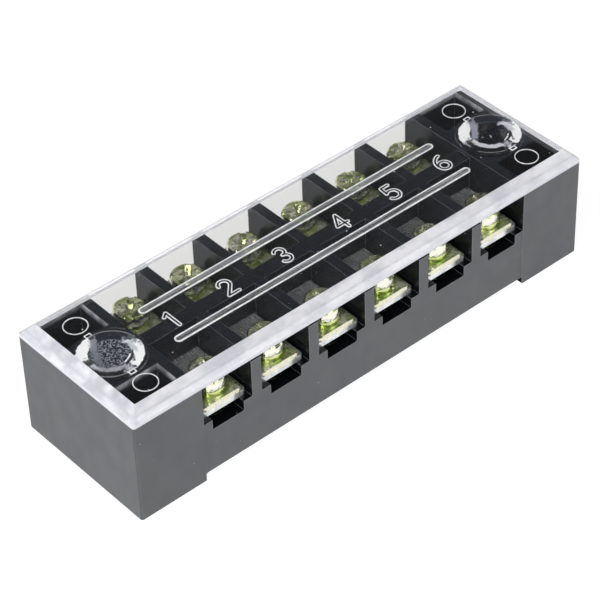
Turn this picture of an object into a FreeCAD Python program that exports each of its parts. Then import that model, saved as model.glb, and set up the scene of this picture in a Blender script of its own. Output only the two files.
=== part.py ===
import FreeCAD, Part

import math
import os

# Barrier terminal strip with a clear push-fit cover.
# Frame: X along the row of poles, Y across the strip, Z up.
# The origin is the middle of the surface that the two feet stand on.
# All sizes are in millimetres.

# Poles and overall form of the housing
pole_count = 6
pole_pitch = 9.0
chamber_width = 7.5
body_width = 22.0
centre_inset = 0.1
end_block_length = 10.0
end_block_height = 14.6
barrier_drop = 0.4
central_block_thickness = 2.2
foot_height = 1.05
foot_step_back = 0.15
corner_radius = 0.35

# Wire openings, bar seats and reliefs under the bars
bar_seat_height = 8.8
groove_width = 4.8
groove_depth = 1.45
tip_relief_radius = 1.9
tip_relief_clearance = 0.7

# Mounting holes and corner pockets of the end blocks
mount_hole_spacing = 61.8
mount_hole_radius = 2.15
counterbore_depth = 7.6
counterbore_lead = 0.25
pocket_length = 6.8
pocket_width = 5.5
pocket_depth = 6.0
pocket_end_wall = 1.85
pocket_side_wall = 0.9
pocket_lip_depth = 1.0
pocket_lip_taper = 0.25

# Terminal bars
bar_length = 20.0
bar_width = 7.0
bar_thickness = 0.8
bar_corner_radius = 0.5
bar_hole_end_distance = 2.75
bar_tunnel_clearance = 0.05

# Terminal screws, spring washers and clamp washers
screw_radius = 1.5
screw_length = 6.0
screw_tip_chamfer = 0.3
thread_clearance = 0.05
head_radius = 2.25
head_height = 1.55
head_edge_radius = 0.65
head_edge_steps = 2
slot_width = 0.75
slot_depth = 0.55
cross_span = 2.9
cross_width = 0.85
cross_depth = 1.05
cross_taper = 0.45
drive_turn_step = 47.0
lock_inner_radius = 1.62
lock_outer_radius = 2.3
lock_thickness = 0.85
lock_slit_width = 0.3
lock_slit_tilt = 25.0
clamp_width = 6.3
clamp_length = 5.6
clamp_thickness = 0.8
clamp_wing_length = 1.5
clamp_wing_edge = 0.45
clamp_corner_radius = 0.8
clamp_hole_clearance = 0.12

# Clear cover
cover_lip_height = 0.5
cover_bevel_height = 1.5
cover_bevel_inset = 1.6
cover_rim_width = 1.2
cover_recess_depth = 0.5
plug_outer_radius = 4.05
plug_inner_radius = 2.5
plug_reach = 4.0
plug_tip_chamfer = 0.3
plug_slit_width = 0.8
plug_fit_clearance = 0.08
rib_length = 47.8
rib_width = 1.15
rib_height = 0.35
rib_offset = 3.4
mark_radius = 1.5
mark_depth = 0.12
mark_offset = 6.65

# Derived sizes
chamber_row_half = (pole_count - 1) * pole_pitch / 2 + chamber_width / 2
body_length = 2 * (chamber_row_half + end_block_length)
half_length = body_length / 2
half_width = body_width / 2
centre_half_width = half_width - centre_inset
central_half = central_block_thickness / 2
barrier_height = end_block_height - barrier_drop
groove_floor = bar_seat_height - groove_depth
bar_top = bar_seat_height + bar_thickness
screw_offset = bar_length / 2 - bar_hole_end_distance
clamp_top = bar_top + clamp_thickness
head_seat = clamp_top + lock_thickness
screw_tip = head_seat - screw_length
counterbore_radius = plug_outer_radius + plug_fit_clearance
counterbore_floor = end_block_height - counterbore_depth
cover_top = end_block_height + cover_lip_height + cover_bevel_height
cover_underside = end_block_height + cover_recess_depth
mount_offset = mount_hole_spacing / 2
cut_margin = 1.0

up = FreeCAD.Vector(0, 0, 1)


def vector(x, y, z):
    return FreeCAD.Vector(x, y, z)


def box_between(x_range, y_range, z_range):
    """Box given by its lowest and highest place along each axis."""
    size = [high - low for low, high in (x_range, y_range, z_range)]
    corner = vector(x_range[0], y_range[0], z_range[0])
    return Part.makeBox(size[0], size[1], size[2], corner)


def upright_cylinder(radius, x, y, bottom, top):
    return Part.makeCylinder(radius, top - bottom, vector(x, y, bottom), up)


def rectangle_points(half_x, half_y, z, x=0.0, y=0.0):
    corners = [(-half_x, -half_y), (half_x, -half_y), (half_x, half_y), (-half_x, half_y)]
    return [vector(x + dx, y + dy, z) for dx, dy in corners]


def flat_face(points):
    return Part.Face(Part.makePolygon(points + points[:1]))


def tapered_block(lower, upper):
    """Flat-sided solid between two parallel rectangles, given by their corners."""
    count = len(lower)
    faces = [flat_face(lower), flat_face(upper)]
    for index in range(count):
        following = (index + 1) % count
        faces.append(flat_face([lower[index], lower[following], upper[following], upper[index]]))
    solid = Part.Solid(Part.Shell(faces))
    if solid.Volume < 0:
        solid.reverse()
    return solid


def vertical_edges(shape, reach_x, reach_y):
    """Upright edges of a shape that stand at least this far out from the middle."""
    found = []
    for edge in shape.Edges:
        start = edge.Vertexes[0].Point
        end = edge.Vertexes[-1].Point
        is_upright = abs(start.x - end.x) < 1e-6 and abs(start.y - end.y) < 1e-6
        if is_upright and abs(start.x) >= reach_x and abs(start.y) >= reach_y:
            found.append(edge)
    return found


def pole_positions():
    first = -(pole_count - 1) * pole_pitch / 2
    return [first + index * pole_pitch for index in range(pole_count)]


# Housing

def end_block(side):
    """Raised block at one end of the strip, reaching down to its foot."""
    inner = chamber_row_half + foot_step_back
    lower_x = sorted((side * inner, side * half_length))
    upper_x = sorted((side * chamber_row_half, side * half_length))
    widths = (-half_width, half_width)
    foot = box_between(lower_x, widths, (0, foot_height))
    block = box_between(upper_x, widths, (foot_height, end_block_height))
    return foot.fuse(block).removeSplitter()


def rounded_end_block(side):
    block = end_block(side)
    corners = vertical_edges(block, half_length - cut_margin / 2, half_width - cut_margin / 2)
    return block.makeFillet(corner_radius, corners)


def housing_blank():
    overlap = chamber_row_half + cut_margin
    centre = box_between(
        (-overlap, overlap),
        (-centre_half_width, centre_half_width),
        (foot_height, barrier_height),
    )
    return centre.multiFuse([rounded_end_block(-1), rounded_end_block(1)])


def chamber_profile(x):
    """Stepped section of a wire opening: wide above the bar's seat, a narrower groove below it."""
    half_chamber = chamber_width / 2
    half_groove = groove_width / 2
    roof = barrier_height + cut_margin
    right = [
        (half_groove, groove_floor),
        (half_groove, bar_seat_height),
        (half_chamber, bar_seat_height),
        (half_chamber, roof),
    ]
    left = [(-dx, z) for dx, z in reversed(right)]
    return flat_face([vector(x + dx, 0, z) for dx, z in right + left])


def chamber_cuts(x):
    """Front and back openings of a pole, the bar's tunnel and the reliefs for the screw tips."""
    profile = chamber_profile(x)
    reach = half_width + cut_margin - central_half
    cuts = []
    for row in (-1, 1):
        start = profile.copy()
        start.translate(vector(0, row * central_half, 0))
        cuts.append(start.extrude(vector(0, row * reach, 0)))
        relief_floor = screw_tip - tip_relief_clearance
        cuts.append(
            upright_cylinder(tip_relief_radius, x, row * screw_offset, relief_floor, groove_floor + cut_margin)
        )
    half_tunnel = bar_width / 2 + bar_tunnel_clearance
    cuts.append(
        box_between(
            (x - half_tunnel, x + half_tunnel),
            (-central_half - cut_margin, central_half + cut_margin),
            (bar_seat_height, bar_top + bar_tunnel_clearance),
        )
    )
    return cuts


def mounting_cuts(side):
    """Through hole and counterbore of one end block, with a lead-in at the mouth."""
    x = side * mount_offset
    roof = end_block_height + cut_margin
    lead = Part.makeCone(
        counterbore_radius,
        counterbore_radius + counterbore_lead,
        counterbore_lead,
        vector(x, 0, end_block_height - counterbore_lead),
        up,
    )
    return [
        upright_cylinder(mount_hole_radius, x, 0, -cut_margin, roof),
        upright_cylinder(counterbore_radius, x, 0, counterbore_floor, roof),
        lead,
    ]


def pocket_cut(side, row):
    """Cored-out pocket in a corner of an end block, with a tapered lip at its mouth."""
    x = side * (half_length - pocket_end_wall - pocket_length / 2)
    y = row * (half_width - pocket_side_wall - pocket_width / 2)
    half_x = pocket_length / 2
    half_y = pocket_width / 2
    lip_bottom = end_block_height - pocket_lip_depth
    lip = tapered_block(
        rectangle_points(half_x - pocket_lip_taper, half_y - pocket_lip_taper, lip_bottom, x, y),
        rectangle_points(half_x, half_y, end_block_height, x, y),
    )
    well_x = half_x - pocket_lip_taper
    well_y = half_y - pocket_lip_taper
    well = box_between(
        (x - well_x, x + well_x),
        (y - well_y, y + well_y),
        (end_block_height - pocket_depth, lip_bottom),
    )
    return lip.fuse(well)


def housing():
    cuts = []
    for x in pole_positions():
        cuts.extend(chamber_cuts(x))
    for side in (-1, 1):
        cuts.extend(mounting_cuts(side))
        for row in (-1, 1):
            cuts.append(pocket_cut(side, row))
    tool = cuts[0].multiFuse(cuts[1:])
    return housing_blank().cut(tool).removeSplitter()


# Terminal bars

def terminal_bar(x):
    """Plated strip with a tapped hole for each of the pole's two screws."""
    half_bar = bar_width / 2
    blank = box_between(
        (-half_bar, half_bar),
        (-bar_length / 2, bar_length / 2),
        (bar_seat_height, bar_top),
    )
    blank = blank.makeFillet(bar_corner_radius, vertical_edges(blank, 0, 0))
    hole_radius = screw_radius + thread_clearance
    holes = [
        upright_cylinder(hole_radius, 0, row * screw_offset, bar_seat_height - cut_margin, bar_top + cut_margin)
        for row in (-1, 1)
    ]
    bar = blank.cut(holes[0].fuse(holes[1]))
    bar.translate(vector(x, 0, 0))
    return bar


# Screws and washers

def screw_body():
    """Turned blank: pan head whose edge is rounded off in flat steps, shank and chamfered tip."""
    head_top = head_seat + head_height
    edge_centre_x = head_radius - head_edge_radius
    edge_centre_z = head_top - head_edge_radius
    corners = [
        (0, screw_tip),
        (screw_radius - screw_tip_chamfer, screw_tip),
        (screw_radius, screw_tip + screw_tip_chamfer),
        (screw_radius, head_seat),
        (head_radius, head_seat),
    ]
    for step in range(head_edge_steps + 1):
        angle = step * math.pi / 2 / head_edge_steps
        corners.append((
            edge_centre_x + head_edge_radius * math.cos(angle),
            edge_centre_z + head_edge_radius * math.sin(angle),
        ))
    corners.append((0, head_top))
    section = flat_face([vector(x, 0, z) for x, z in corners])
    return section.revolve(vector(0, 0, 0), up, 360)


def drive_recess():
    """Straight slot across the head and a tapered cross in its middle."""
    head_top = head_seat + head_height
    slot = box_between(
        (-head_radius - cut_margin, head_radius + cut_margin),
        (-slot_width / 2, slot_width / 2),
        (head_top - slot_depth, head_top + cut_margin),
    )
    floor = head_top - cross_depth
    wings = []
    for half_x, half_y in ((cross_span / 2, cross_width / 2), (cross_width / 2, cross_span / 2)):
        mouth = rectangle_points(half_x, half_y, head_top)
        foot = rectangle_points(half_x * cross_taper, half_y * cross_taper, floor)
        wings.append(tapered_block(foot, mouth))
    return slot.multiFuse(wings)


def terminal_screw(x, y, turn):
    screw = screw_body().cut(drive_recess())
    screw.rotate(vector(0, 0, 0), up, turn)
    screw.translate(vector(x, y, 0))
    return screw


def spring_washer(x, y, turn):
    """Flattened split ring. The slit slants through the ring's thickness."""
    ring = upright_cylinder(lock_outer_radius, 0, 0, clamp_top, head_seat)
    ring = ring.cut(upright_cylinder(lock_inner_radius, 0, 0, clamp_top, head_seat))
    half_slit = lock_slit_width / 2
    slit = box_between(
        (lock_inner_radius - cut_margin, lock_outer_radius + cut_margin),
        (-half_slit, half_slit),
        (clamp_top - cut_margin, head_seat + cut_margin),
    )
    middle = vector(0, 0, (clamp_top + head_seat) / 2)
    slit.rotate(middle, vector(1, 0, 0), lock_slit_tilt)
    ring = ring.cut(slit)
    ring.rotate(vector(0, 0, 0), up, turn)
    ring.translate(vector(x, y, 0))
    return ring


def clamp_washer(x, y):
    """Square plate, flat below, with a wing thinned along a curve on each side."""
    half_clamp = clamp_width / 2
    flat = half_clamp - clamp_wing_length
    wing_top = bar_top + clamp_wing_edge
    drop = clamp_top - wing_top
    arc_radius = (clamp_wing_length ** 2 + drop ** 2) / (2 * drop)
    half_angle = math.asin(clamp_wing_length / arc_radius) / 2
    arc_x = flat + arc_radius * math.sin(half_angle)
    arc_z = clamp_top - arc_radius * (1 - math.cos(half_angle))
    edges = [
        Part.makeLine(vector(-half_clamp, 0, bar_top), vector(half_clamp, 0, bar_top)),
        Part.makeLine(vector(half_clamp, 0, bar_top), vector(half_clamp, 0, wing_top)),
        Part.Arc(vector(half_clamp, 0, wing_top), vector(arc_x, 0, arc_z), vector(flat, 0, clamp_top)).toShape(),
        Part.makeLine(vector(flat, 0, clamp_top), vector(-flat, 0, clamp_top)),
        Part.Arc(vector(-flat, 0, clamp_top), vector(-arc_x, 0, arc_z), vector(-half_clamp, 0, wing_top)).toShape(),
        Part.makeLine(vector(-half_clamp, 0, wing_top), vector(-half_clamp, 0, bar_top)),
    ]
    face = Part.Face(Part.Wire(edges))
    face.translate(vector(0, -clamp_length / 2, 0))
    plate = face.extrude(vector(0, clamp_length, 0))
    plate = plate.makeFillet(clamp_corner_radius, vertical_edges(plate, half_clamp - cut_margin / 2, 0))
    hole_radius = screw_radius + clamp_hole_clearance
    plate = plate.cut(upright_cylinder(hole_radius, 0, 0, bar_top - cut_margin, clamp_top + cut_margin))
    plate.translate(vector(x, y, 0))
    return plate


# Clear cover

def bevelled_section(half_span, place):
    """Section of the cover across one axis: an upright lip with a bevel above it on both sides."""
    lip_top = end_block_height + cover_lip_height
    right = [
        (half_span, end_block_height),
        (half_span, lip_top),
        (half_span - cover_bevel_inset, cover_top),
    ]
    left = [(-across, z) for across, z in reversed(right)]
    return flat_face([place(across, z) for across, z in right + left])


def cover_blank():
    """Plate with an upright lip, bevelled edges and a shallow recess underneath."""
    along = bevelled_section(half_length, lambda across, z: vector(across, -half_width, z))
    across = bevelled_section(half_width, lambda across, z: vector(-half_length, across, z))
    outline = box_between(
        (-half_length, half_length), (-half_width, half_width), (end_block_height, cover_top)
    )
    outline = outline.makeFillet(corner_radius, vertical_edges(outline, 0, 0))
    blank = along.extrude(vector(0, body_width, 0)).common(across.extrude(vector(body_length, 0, 0)))
    recess = box_between(
        (-half_length + cover_rim_width, half_length - cover_rim_width),
        (-half_width + cover_rim_width, half_width - cover_rim_width),
        (end_block_height - cut_margin, cover_underside),
    )
    return blank.common(outline).cut(recess).removeSplitter()


def cover_rib(row):
    """Long stiffening rib with rounded ends, hanging from the cover's underside."""
    radius = rib_width / 2
    half_straight = rib_length / 2 - radius
    y = row * rib_offset
    bottom = cover_underside - rib_height
    bar = box_between((-half_straight, half_straight), (y - radius, y + radius), (bottom, cover_underside))
    ends = [
        upright_cylinder(radius, side * half_straight, y, bottom, cover_underside)
        for side in (-1, 1)
    ]
    return bar.multiFuse(ends).removeSplitter()


def cover_plug(side):
    """Hollow plug, split front and back, that grips the counterbore of an end block."""
    tip = end_block_height - plug_reach
    tip_band = plug_tip_chamfer
    barrel = upright_cylinder(plug_outer_radius, 0, 0, tip + tip_band, cover_underside)
    nose = Part.makeCone(
        plug_outer_radius - plug_tip_chamfer, plug_outer_radius, tip_band, vector(0, 0, tip), up
    )
    hollow = upright_cylinder(plug_inner_radius, 0, 0, tip - cut_margin, cover_underside)
    slit = box_between(
        (-plug_slit_width / 2, plug_slit_width / 2),
        (-plug_outer_radius - cut_margin, plug_outer_radius + cut_margin),
        (tip - cut_margin, cover_underside),
    )
    plug = barrel.fuse(nose).removeSplitter().cut(hollow.fuse(slit))
    plug.translate(vector(side * mount_offset, 0, 0))
    return plug


def cover():
    added = [cover_rib(row) for row in (-1, 1)]
    added += [cover_plug(side) for side in (-1, 1)]
    marks = [
        upright_cylinder(
            mark_radius, side * mount_offset, row * mark_offset, cover_underside, cover_underside + mark_depth
        )
        for side in (-1, 1)
        for row in (-1, 1)
    ]
    shape = cover_blank().multiFuse(added)
    return shape.cut(marks[0].multiFuse(marks[1:])).removeSplitter()


def save(shape, node):
    shape.exportStep(os.path.join("parts", node + ".step"))


def main():
    os.makedirs("parts", exist_ok=True)
    save(housing(), "housing")
    save(cover(), "cover")
    screw_index = 0
    for pole, x in enumerate(pole_positions(), start=1):
        save(terminal_bar(x), "terminal_bar_{}".format(pole))
        for row, row_name in ((-1, "front"), (1, "rear")):
            y = row * screw_offset
            turn = screw_index * drive_turn_step
            label = "{}_{}".format(row_name, pole)
            save(clamp_washer(x, y), "clamp_washer_" + label)
            save(spring_washer(x, y, turn), "spring_washer_" + label)
            save(terminal_screw(x, y, turn), "terminal_screw_" + label)
            screw_index += 1


main()
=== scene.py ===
"""Looks of a six-pole barrier terminal strip with a clear push-fit cover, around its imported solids.

Unless a comment says otherwise, lengths in a class are in millimetres and angles are in degrees.
"""

import logging
import math
from dataclasses import dataclass
from enum import Enum

import bmesh
import bpy
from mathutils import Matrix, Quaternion, Vector


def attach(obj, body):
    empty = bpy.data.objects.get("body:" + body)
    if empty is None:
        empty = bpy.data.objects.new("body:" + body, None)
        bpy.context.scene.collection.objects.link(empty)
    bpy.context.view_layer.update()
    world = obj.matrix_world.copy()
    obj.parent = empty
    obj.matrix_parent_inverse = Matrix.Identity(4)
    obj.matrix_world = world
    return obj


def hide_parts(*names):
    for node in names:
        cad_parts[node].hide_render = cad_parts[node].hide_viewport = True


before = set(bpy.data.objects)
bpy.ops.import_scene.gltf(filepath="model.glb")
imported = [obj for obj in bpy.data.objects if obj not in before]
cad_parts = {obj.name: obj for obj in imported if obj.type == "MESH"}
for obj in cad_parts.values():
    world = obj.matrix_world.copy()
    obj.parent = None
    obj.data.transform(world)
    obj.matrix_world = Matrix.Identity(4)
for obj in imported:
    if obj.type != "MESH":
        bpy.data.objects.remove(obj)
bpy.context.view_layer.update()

log = logging.getLogger("terminal_strip")

MM = 0.001
MERGE_DISTANCE = 1e-6
FLAT_ANGLE = 0.5
EDGE_SEGMENTS = 2
WHITE = (1.0, 1.0, 1.0, 1.0)
CLEAR_SHADOW = (0.99, 0.99, 0.99, 1.0)

Point = tuple[float, float]
Colour = tuple[float, float, float, float]
Stroke = list[Point]
Link = bpy.types.NodeSocket | bpy.types.Node
Tree = bpy.types.NodeTree


class Row(Enum):
    """The two rows of screws. The value is the side of the strip on Y."""

    FRONT = -1
    REAR = 1

    @property
    def label(self) -> str:
        """The row's word in the names of nodes and bodies."""
        return self.name.lower()


class PlugFace(Enum):
    """How the plate looks inside a plug's ring."""

    ETCHED = "etched"
    POLISHED = "polished"


# Helpers for nodes, meshes and pieces

def linear(code: str) -> Colour:
    """Turns an sRGB hex colour into linear red, green, blue and alpha.

    Args:
        code: Six hex digits after a hash sign.

    Returns:
        The linear colour, with alpha 1.
    """
    parts = [int(code[i:i + 2], 16) / 255 for i in (1, 3, 5)]
    red, green, blue = [p / 12.92 if p <= 0.04045 else ((p + 0.055) / 1.055) ** 2.4 for p in parts]
    return red, green, blue, 1.0


def add_node(tree: Tree, kind: str, inputs: dict | None = None, **settings: object) -> bpy.types.Node:
    """Adds one node with its settings and links.

    Args:
        tree: The tree that gets the node.
        kind: Blender's type name of the node.
        inputs: Values, sockets or nodes for its inputs, by name or number. A node gives its first
            output, and a list makes several links.
        **settings: Properties to set, by name.

    Returns:
        The new node.
    """
    node = tree.nodes.new(kind)
    for name, value in settings.items():
        setattr(node, name, value)
    for key, value in (inputs or {}).items():
        for item in value if isinstance(value, list) else [value]:
            source = item.outputs[0] if isinstance(item, bpy.types.Node) else item
            if isinstance(source, bpy.types.NodeSocket):
                tree.links.new(source, node.inputs[key])
            else:
                node.inputs[key].default_value = source
    return node


def millimetres(tree: Tree) -> Link:
    """Object coordinates in millimetres.

    Args:
        tree: The tree that gets the nodes.

    Returns:
        The scaled coordinates.
    """
    place = add_node(tree, "ShaderNodeTexCoord").outputs["Object"]
    return add_node(tree, "ShaderNodeVectorMath", {0: place, "Scale": 1 / MM}, operation="SCALE")


def layered(tree: Tree, ground: Link | tuple, layers: list[tuple[Link | float, Link | tuple]]) -> Link:
    """Lays colours over one another.

    Args:
        tree: The tree that gets the mixes.
        ground: Colour at the bottom.
        layers: The mask and the colour of each layer, from the lowest to the topmost.

    Returns:
        The colour on top.
    """
    for mask, colour in layers:
        mix = add_node(tree, "ShaderNodeMix", {0: mask, 6: ground, 7: colour}, data_type="RGBA")
        ground = mix.outputs[2]
    return ground


def painted_edge_mask(tree: Tree, radius: float) -> Link:
    """Mask of the sharp edges, where painted highlights and painted shade are laid.

    Args:
        tree: The tree that gets the mask.
        radius: Width of the painted line in millimetres.

    Returns:
        1 on an edge, falling to 0 beside it.
    """
    rounded = add_node(tree, "ShaderNodeBevel", {"Radius": radius * MM}, samples=4)
    surface = add_node(tree, "ShaderNodeNewGeometry")
    same = add_node(
        tree, "ShaderNodeVectorMath", {0: rounded, 1: surface.outputs["True Normal"]},
        operation="DOT_PRODUCT",
    )
    # The two normals are 11 degrees apart where the mask starts, and 37 degrees where it is full.
    return add_node(
        tree, "ShaderNodeMapRange", {"Value": same.outputs["Value"], "From Min": 0.98, "From Max": 0.8}
    )


def lets_lamps_through(tree: Tree, surface: Link) -> Link:
    """Lets shadow rays pass a clear material straight, so that lamps and sky light what lies behind it.

    Args:
        tree: The material's tree.
        surface: The shader seen by every other ray.

    Returns:
        The shader with its clear shadow.
    """
    path = add_node(tree, "ShaderNodeLightPath")
    clear = add_node(tree, "ShaderNodeBsdfTransparent", {"Color": CLEAR_SHADOW})
    return add_node(tree, "ShaderNodeMixShader", {0: path.outputs["Is Shadow Ray"], 1: surface, 2: clear})


def add_piece(name: str, mesh: bpy.types.Mesh) -> bpy.types.Object:
    """Puts a mesh in the scene as an object at the origin.

    Args:
        name: Name of the object.
        mesh: Its mesh.

    Returns:
        The object.
    """
    piece = bpy.data.objects.new(name, mesh)
    bpy.context.scene.collection.objects.link(piece)
    return piece


def evaluated(name: str, holder: bpy.types.Object) -> bpy.types.Mesh:
    """Turns an object with its modifiers into a plain mesh and removes the object.

    Args:
        name: Name of the new mesh.
        holder: Object whose modifiers are evaluated.

    Returns:
        The plain mesh.
    """
    graph = bpy.context.evaluated_depsgraph_get()
    mesh = bpy.data.meshes.new_from_object(holder.evaluated_get(graph), depsgraph=graph)
    mesh.name = name
    bpy.data.objects.remove(holder)
    return mesh


def close_ring(shape: bmesh.types.BMesh, lower: list, upper: list, slot: int = 0) -> None:
    """Joins two closed rings of points with a wall.

    Args:
        shape: The shape that holds the points.
        lower: Points of the first ring.
        upper: Points of the second ring, in the same order.
        slot: Material slot of the wall.
    """
    for i in range(len(lower)):
        j = (i + 1) % len(lower)
        wall = shape.faces.new((lower[i], lower[j], upper[j], upper[i]))
        wall.material_index = slot


def finished_mesh(name: str, shape: bmesh.types.BMesh) -> bpy.types.Mesh:
    """Turns a shape's faces outwards and makes it a mesh.

    Args:
        name: Name of the new mesh.
        shape: The shape, which is freed.

    Returns:
        The mesh.
    """
    bmesh.ops.recalc_face_normals(shape, faces=shape.faces)
    mesh = bpy.data.meshes.new(name)
    shape.to_mesh(mesh)
    shape.free()
    return mesh


def solid_copy(node: str) -> bpy.types.Mesh:
    """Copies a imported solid, with its doubles merged and its flat faces joined.

    Args:
        node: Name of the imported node.

    Returns:
        The cleaned mesh.
    """
    shape = bmesh.new()
    shape.from_mesh(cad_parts[node].data)
    bmesh.ops.remove_doubles(shape, verts=shape.verts, dist=MERGE_DISTANCE)
    flat = math.radians(FLAT_ANGLE)
    bmesh.ops.dissolve_limit(shape, angle_limit=flat, verts=shape.verts, edges=shape.edges)
    return finished_mesh(node + "_copy", shape)


def softened(name: str, mesh: bpy.types.Mesh, width: float, sharp: float = 35.0) -> bpy.types.Mesh:
    """Rounds the sharp edges of a mesh.

    Args:
        name: Name of the new mesh.
        mesh: Mesh to round.
        width: Width of the rounding in millimetres.
        sharp: Edges that turn by more than this many degrees are rounded.

    Returns:
        The rounded mesh, shaded smooth.
    """
    mesh.shade_smooth()
    holder = add_piece(name + "_holder", mesh)
    edge = holder.modifiers.new("edge", "BEVEL")
    edge.width = width * MM
    edge.segments = EDGE_SEGMENTS
    edge.limit_method = "ANGLE"
    edge.angle_limit = math.radians(sharp)
    edge.miter_outer = "MITER_ARC"
    # Each large face keeps its own direction up to its rounded edge.
    flat = holder.modifiers.new("flat", "WEIGHTED_NORMAL")
    flat.mode = "FACE_AREA"
    flat.weight = 100
    return evaluated(name, holder)


def run_tree(name: str, tree: Tree, values: dict, mesh: bpy.types.Mesh | None = None) -> bpy.types.Mesh:
    """Runs a Geometry Nodes tree and returns its result as a plain mesh.

    Args:
        name: Name of the new mesh.
        tree: The tree.
        values: The tree's inputs, by their names.
        mesh: Mesh that goes in, if any.

    Returns:
        The plain mesh.
    """
    holder = add_piece(name + "_holder", mesh or bpy.data.meshes.new(name + "_start"))
    modifier = holder.modifiers.new(tree.name, "NODES")
    modifier.node_group = tree
    for item in tree.interface.items_tree:
        if item.item_type == "SOCKET" and item.in_out == "INPUT" and item.name in values:
            modifier[item.identifier] = values[item.name]
    return evaluated(name, holder)


def new_tree(name: str, sockets: dict[str, str]) -> tuple[Tree, dict[str, Link]]:
    """Starts a Geometry Nodes tree with named inputs.

    Args:
        name: Name of the tree.
        sockets: Blender's socket type of each input, by the input's name.

    Returns:
        The tree and the sockets that carry its inputs.
    """
    tree = bpy.data.node_groups.new(name, "GeometryNodeTree")
    tree.interface.new_socket("Geometry", in_out="INPUT", socket_type="NodeSocketGeometry")
    for socket, kind in sockets.items():
        tree.interface.new_socket(socket, in_out="INPUT", socket_type=kind)
    tree.interface.new_socket("Geometry", in_out="OUTPUT", socket_type="NodeSocketGeometry")
    entry = add_node(tree, "NodeGroupInput")
    return tree, {name: entry.outputs[name] for name in ["Geometry", *sockets]}


def end_tree(tree: Tree, shape: Link, material: Link) -> None:
    """Ends a Geometry Nodes tree: scale to metres, Realize Instances and Set Material.

    Args:
        tree: The tree.
        shape: Geometry in millimetres.
        material: Material of every face.
    """
    scaled = add_node(tree, "GeometryNodeTransform", {"Geometry": shape, "Scale": (MM, MM, MM)})
    real = add_node(tree, "GeometryNodeRealizeInstances", {"Geometry": scaled})
    dressed = add_node(tree, "GeometryNodeSetMaterial", {"Geometry": real, "Material": material})
    add_node(tree, "NodeGroupOutput", {"Geometry": dressed})


def dress(mesh: bpy.types.Mesh, *finishes: "Finish") -> None:
    """Gives a mesh its material slots.

    Args:
        mesh: The mesh.
        *finishes: Its finishes, in the order of the slots.
    """
    for finish in finishes:
        mesh.materials.append(finish.material())


def place_piece(name: str, mesh: bpy.types.Mesh, body: str, node: str | None = None) -> None:
    """Adds a finished piece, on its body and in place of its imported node.

    Args:
        name: Name of the piece.
        mesh: Its final mesh, in place.
        body: Body that it rides on.
        node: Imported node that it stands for, if any.
    """
    piece = add_piece(name, mesh)
    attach(piece, body)
    if node:
        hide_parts(node)
    log.info("%s: %d faces on body %s", name, len(mesh.polygons), body)


def place_solid(name: str, node: str, body: str, rounding: float, finish: "Finish") -> None:
    """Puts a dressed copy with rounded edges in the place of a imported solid.

    Args:
        name: Name of the piece.
        node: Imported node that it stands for.
        body: Body that it rides on.
        rounding: Width of the rounded edges in millimetres.
        finish: Its finish.
    """
    mesh = softened(name, solid_copy(node), rounding)
    dress(mesh, finish)
    place_piece(name, mesh, body, node)


# Patterns

@dataclass(frozen=True)
class Cloud:
    """Soft irregular variation.

    The size is that of a patch, in millimetres. Low and high are its values in the hollows and on the
    crests. A patch is longer by the stretch along each axis, and the detail adds finer layers.
    """

    size: float
    low: float = 0.0
    high: float = 1.0
    stretch: tuple[float, float, float] = (1.0, 1.0, 1.0)
    detail: float = 2.0

    def value(self, tree: Tree, place: Link) -> Link:
        """Draws the variation.

        Args:
            tree: The tree that gets the pattern.
            place: Coordinates in millimetres.

        Returns:
            The pattern's value.
        """
        patch = tuple(self.size * times for times in self.stretch)
        scaled = add_node(tree, "ShaderNodeVectorMath", {0: place, 1: patch}, operation="DIVIDE")
        noise = add_node(
            tree, "ShaderNodeTexNoise", {"Vector": scaled, "Scale": 1.0, "Detail": self.detail}
        )
        # The noise itself hardly leaves the range from 0.32 to 0.68.
        return add_node(
            tree, "ShaderNodeMapRange",
            {
                "Value": noise.outputs["Fac"], "From Min": 0.32, "From Max": 0.68,
                "To Min": self.low, "To Max": self.high,
            },
            interpolation_type="SMOOTHSTEP",
        )


@dataclass(frozen=True)
class Specks:
    """Small round specks strewn at random.

    Their mean distance is in millimetres, and their radius is a share of it.
    """

    spacing: float
    share: float

    def value(self, tree: Tree, place: Link) -> Link:
        """Draws the specks.

        Args:
            tree: The tree that gets the pattern.
            place: Coordinates in millimetres.

        Returns:
            1 inside a speck and 0 outside.
        """
        cells = add_node(tree, "ShaderNodeTexVoronoi", {"Vector": place, "Scale": 1 / self.spacing})
        inside = add_node(
            tree, "ShaderNodeMath", {0: cells.outputs["Distance"], 1: self.share}, operation="LESS_THAN"
        )
        # Whole regions stay free of specks.
        rare = Cloud(self.spacing * 3, -0.6, 1.4).value(tree, place)
        return add_node(tree, "ShaderNodeMath", {0: inside, 1: rare}, operation="MULTIPLY", use_clamp=True)


@dataclass(frozen=True)
class Relief:
    """Shallow bumps: their size and height in millimetres, and the detail on them."""

    size: float
    height: float
    detail: float = 1.0

    def normal(self, tree: Tree, place: Link, strength: Link | float) -> Link:
        """Draws the bumps.

        Args:
            tree: The tree that gets the pattern.
            place: Coordinates in millimetres.
            strength: Share of the height that shows.

        Returns:
            The bumpy surface's normal.
        """
        noise = add_node(
            tree, "ShaderNodeTexNoise", {"Vector": place, "Scale": 1 / self.size, "Detail": self.detail}
        )
        return add_node(
            tree, "ShaderNodeBump",
            {"Height": noise.outputs["Fac"], "Strength": strength, "Distance": self.height * MM},
        )


# Finishes

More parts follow.
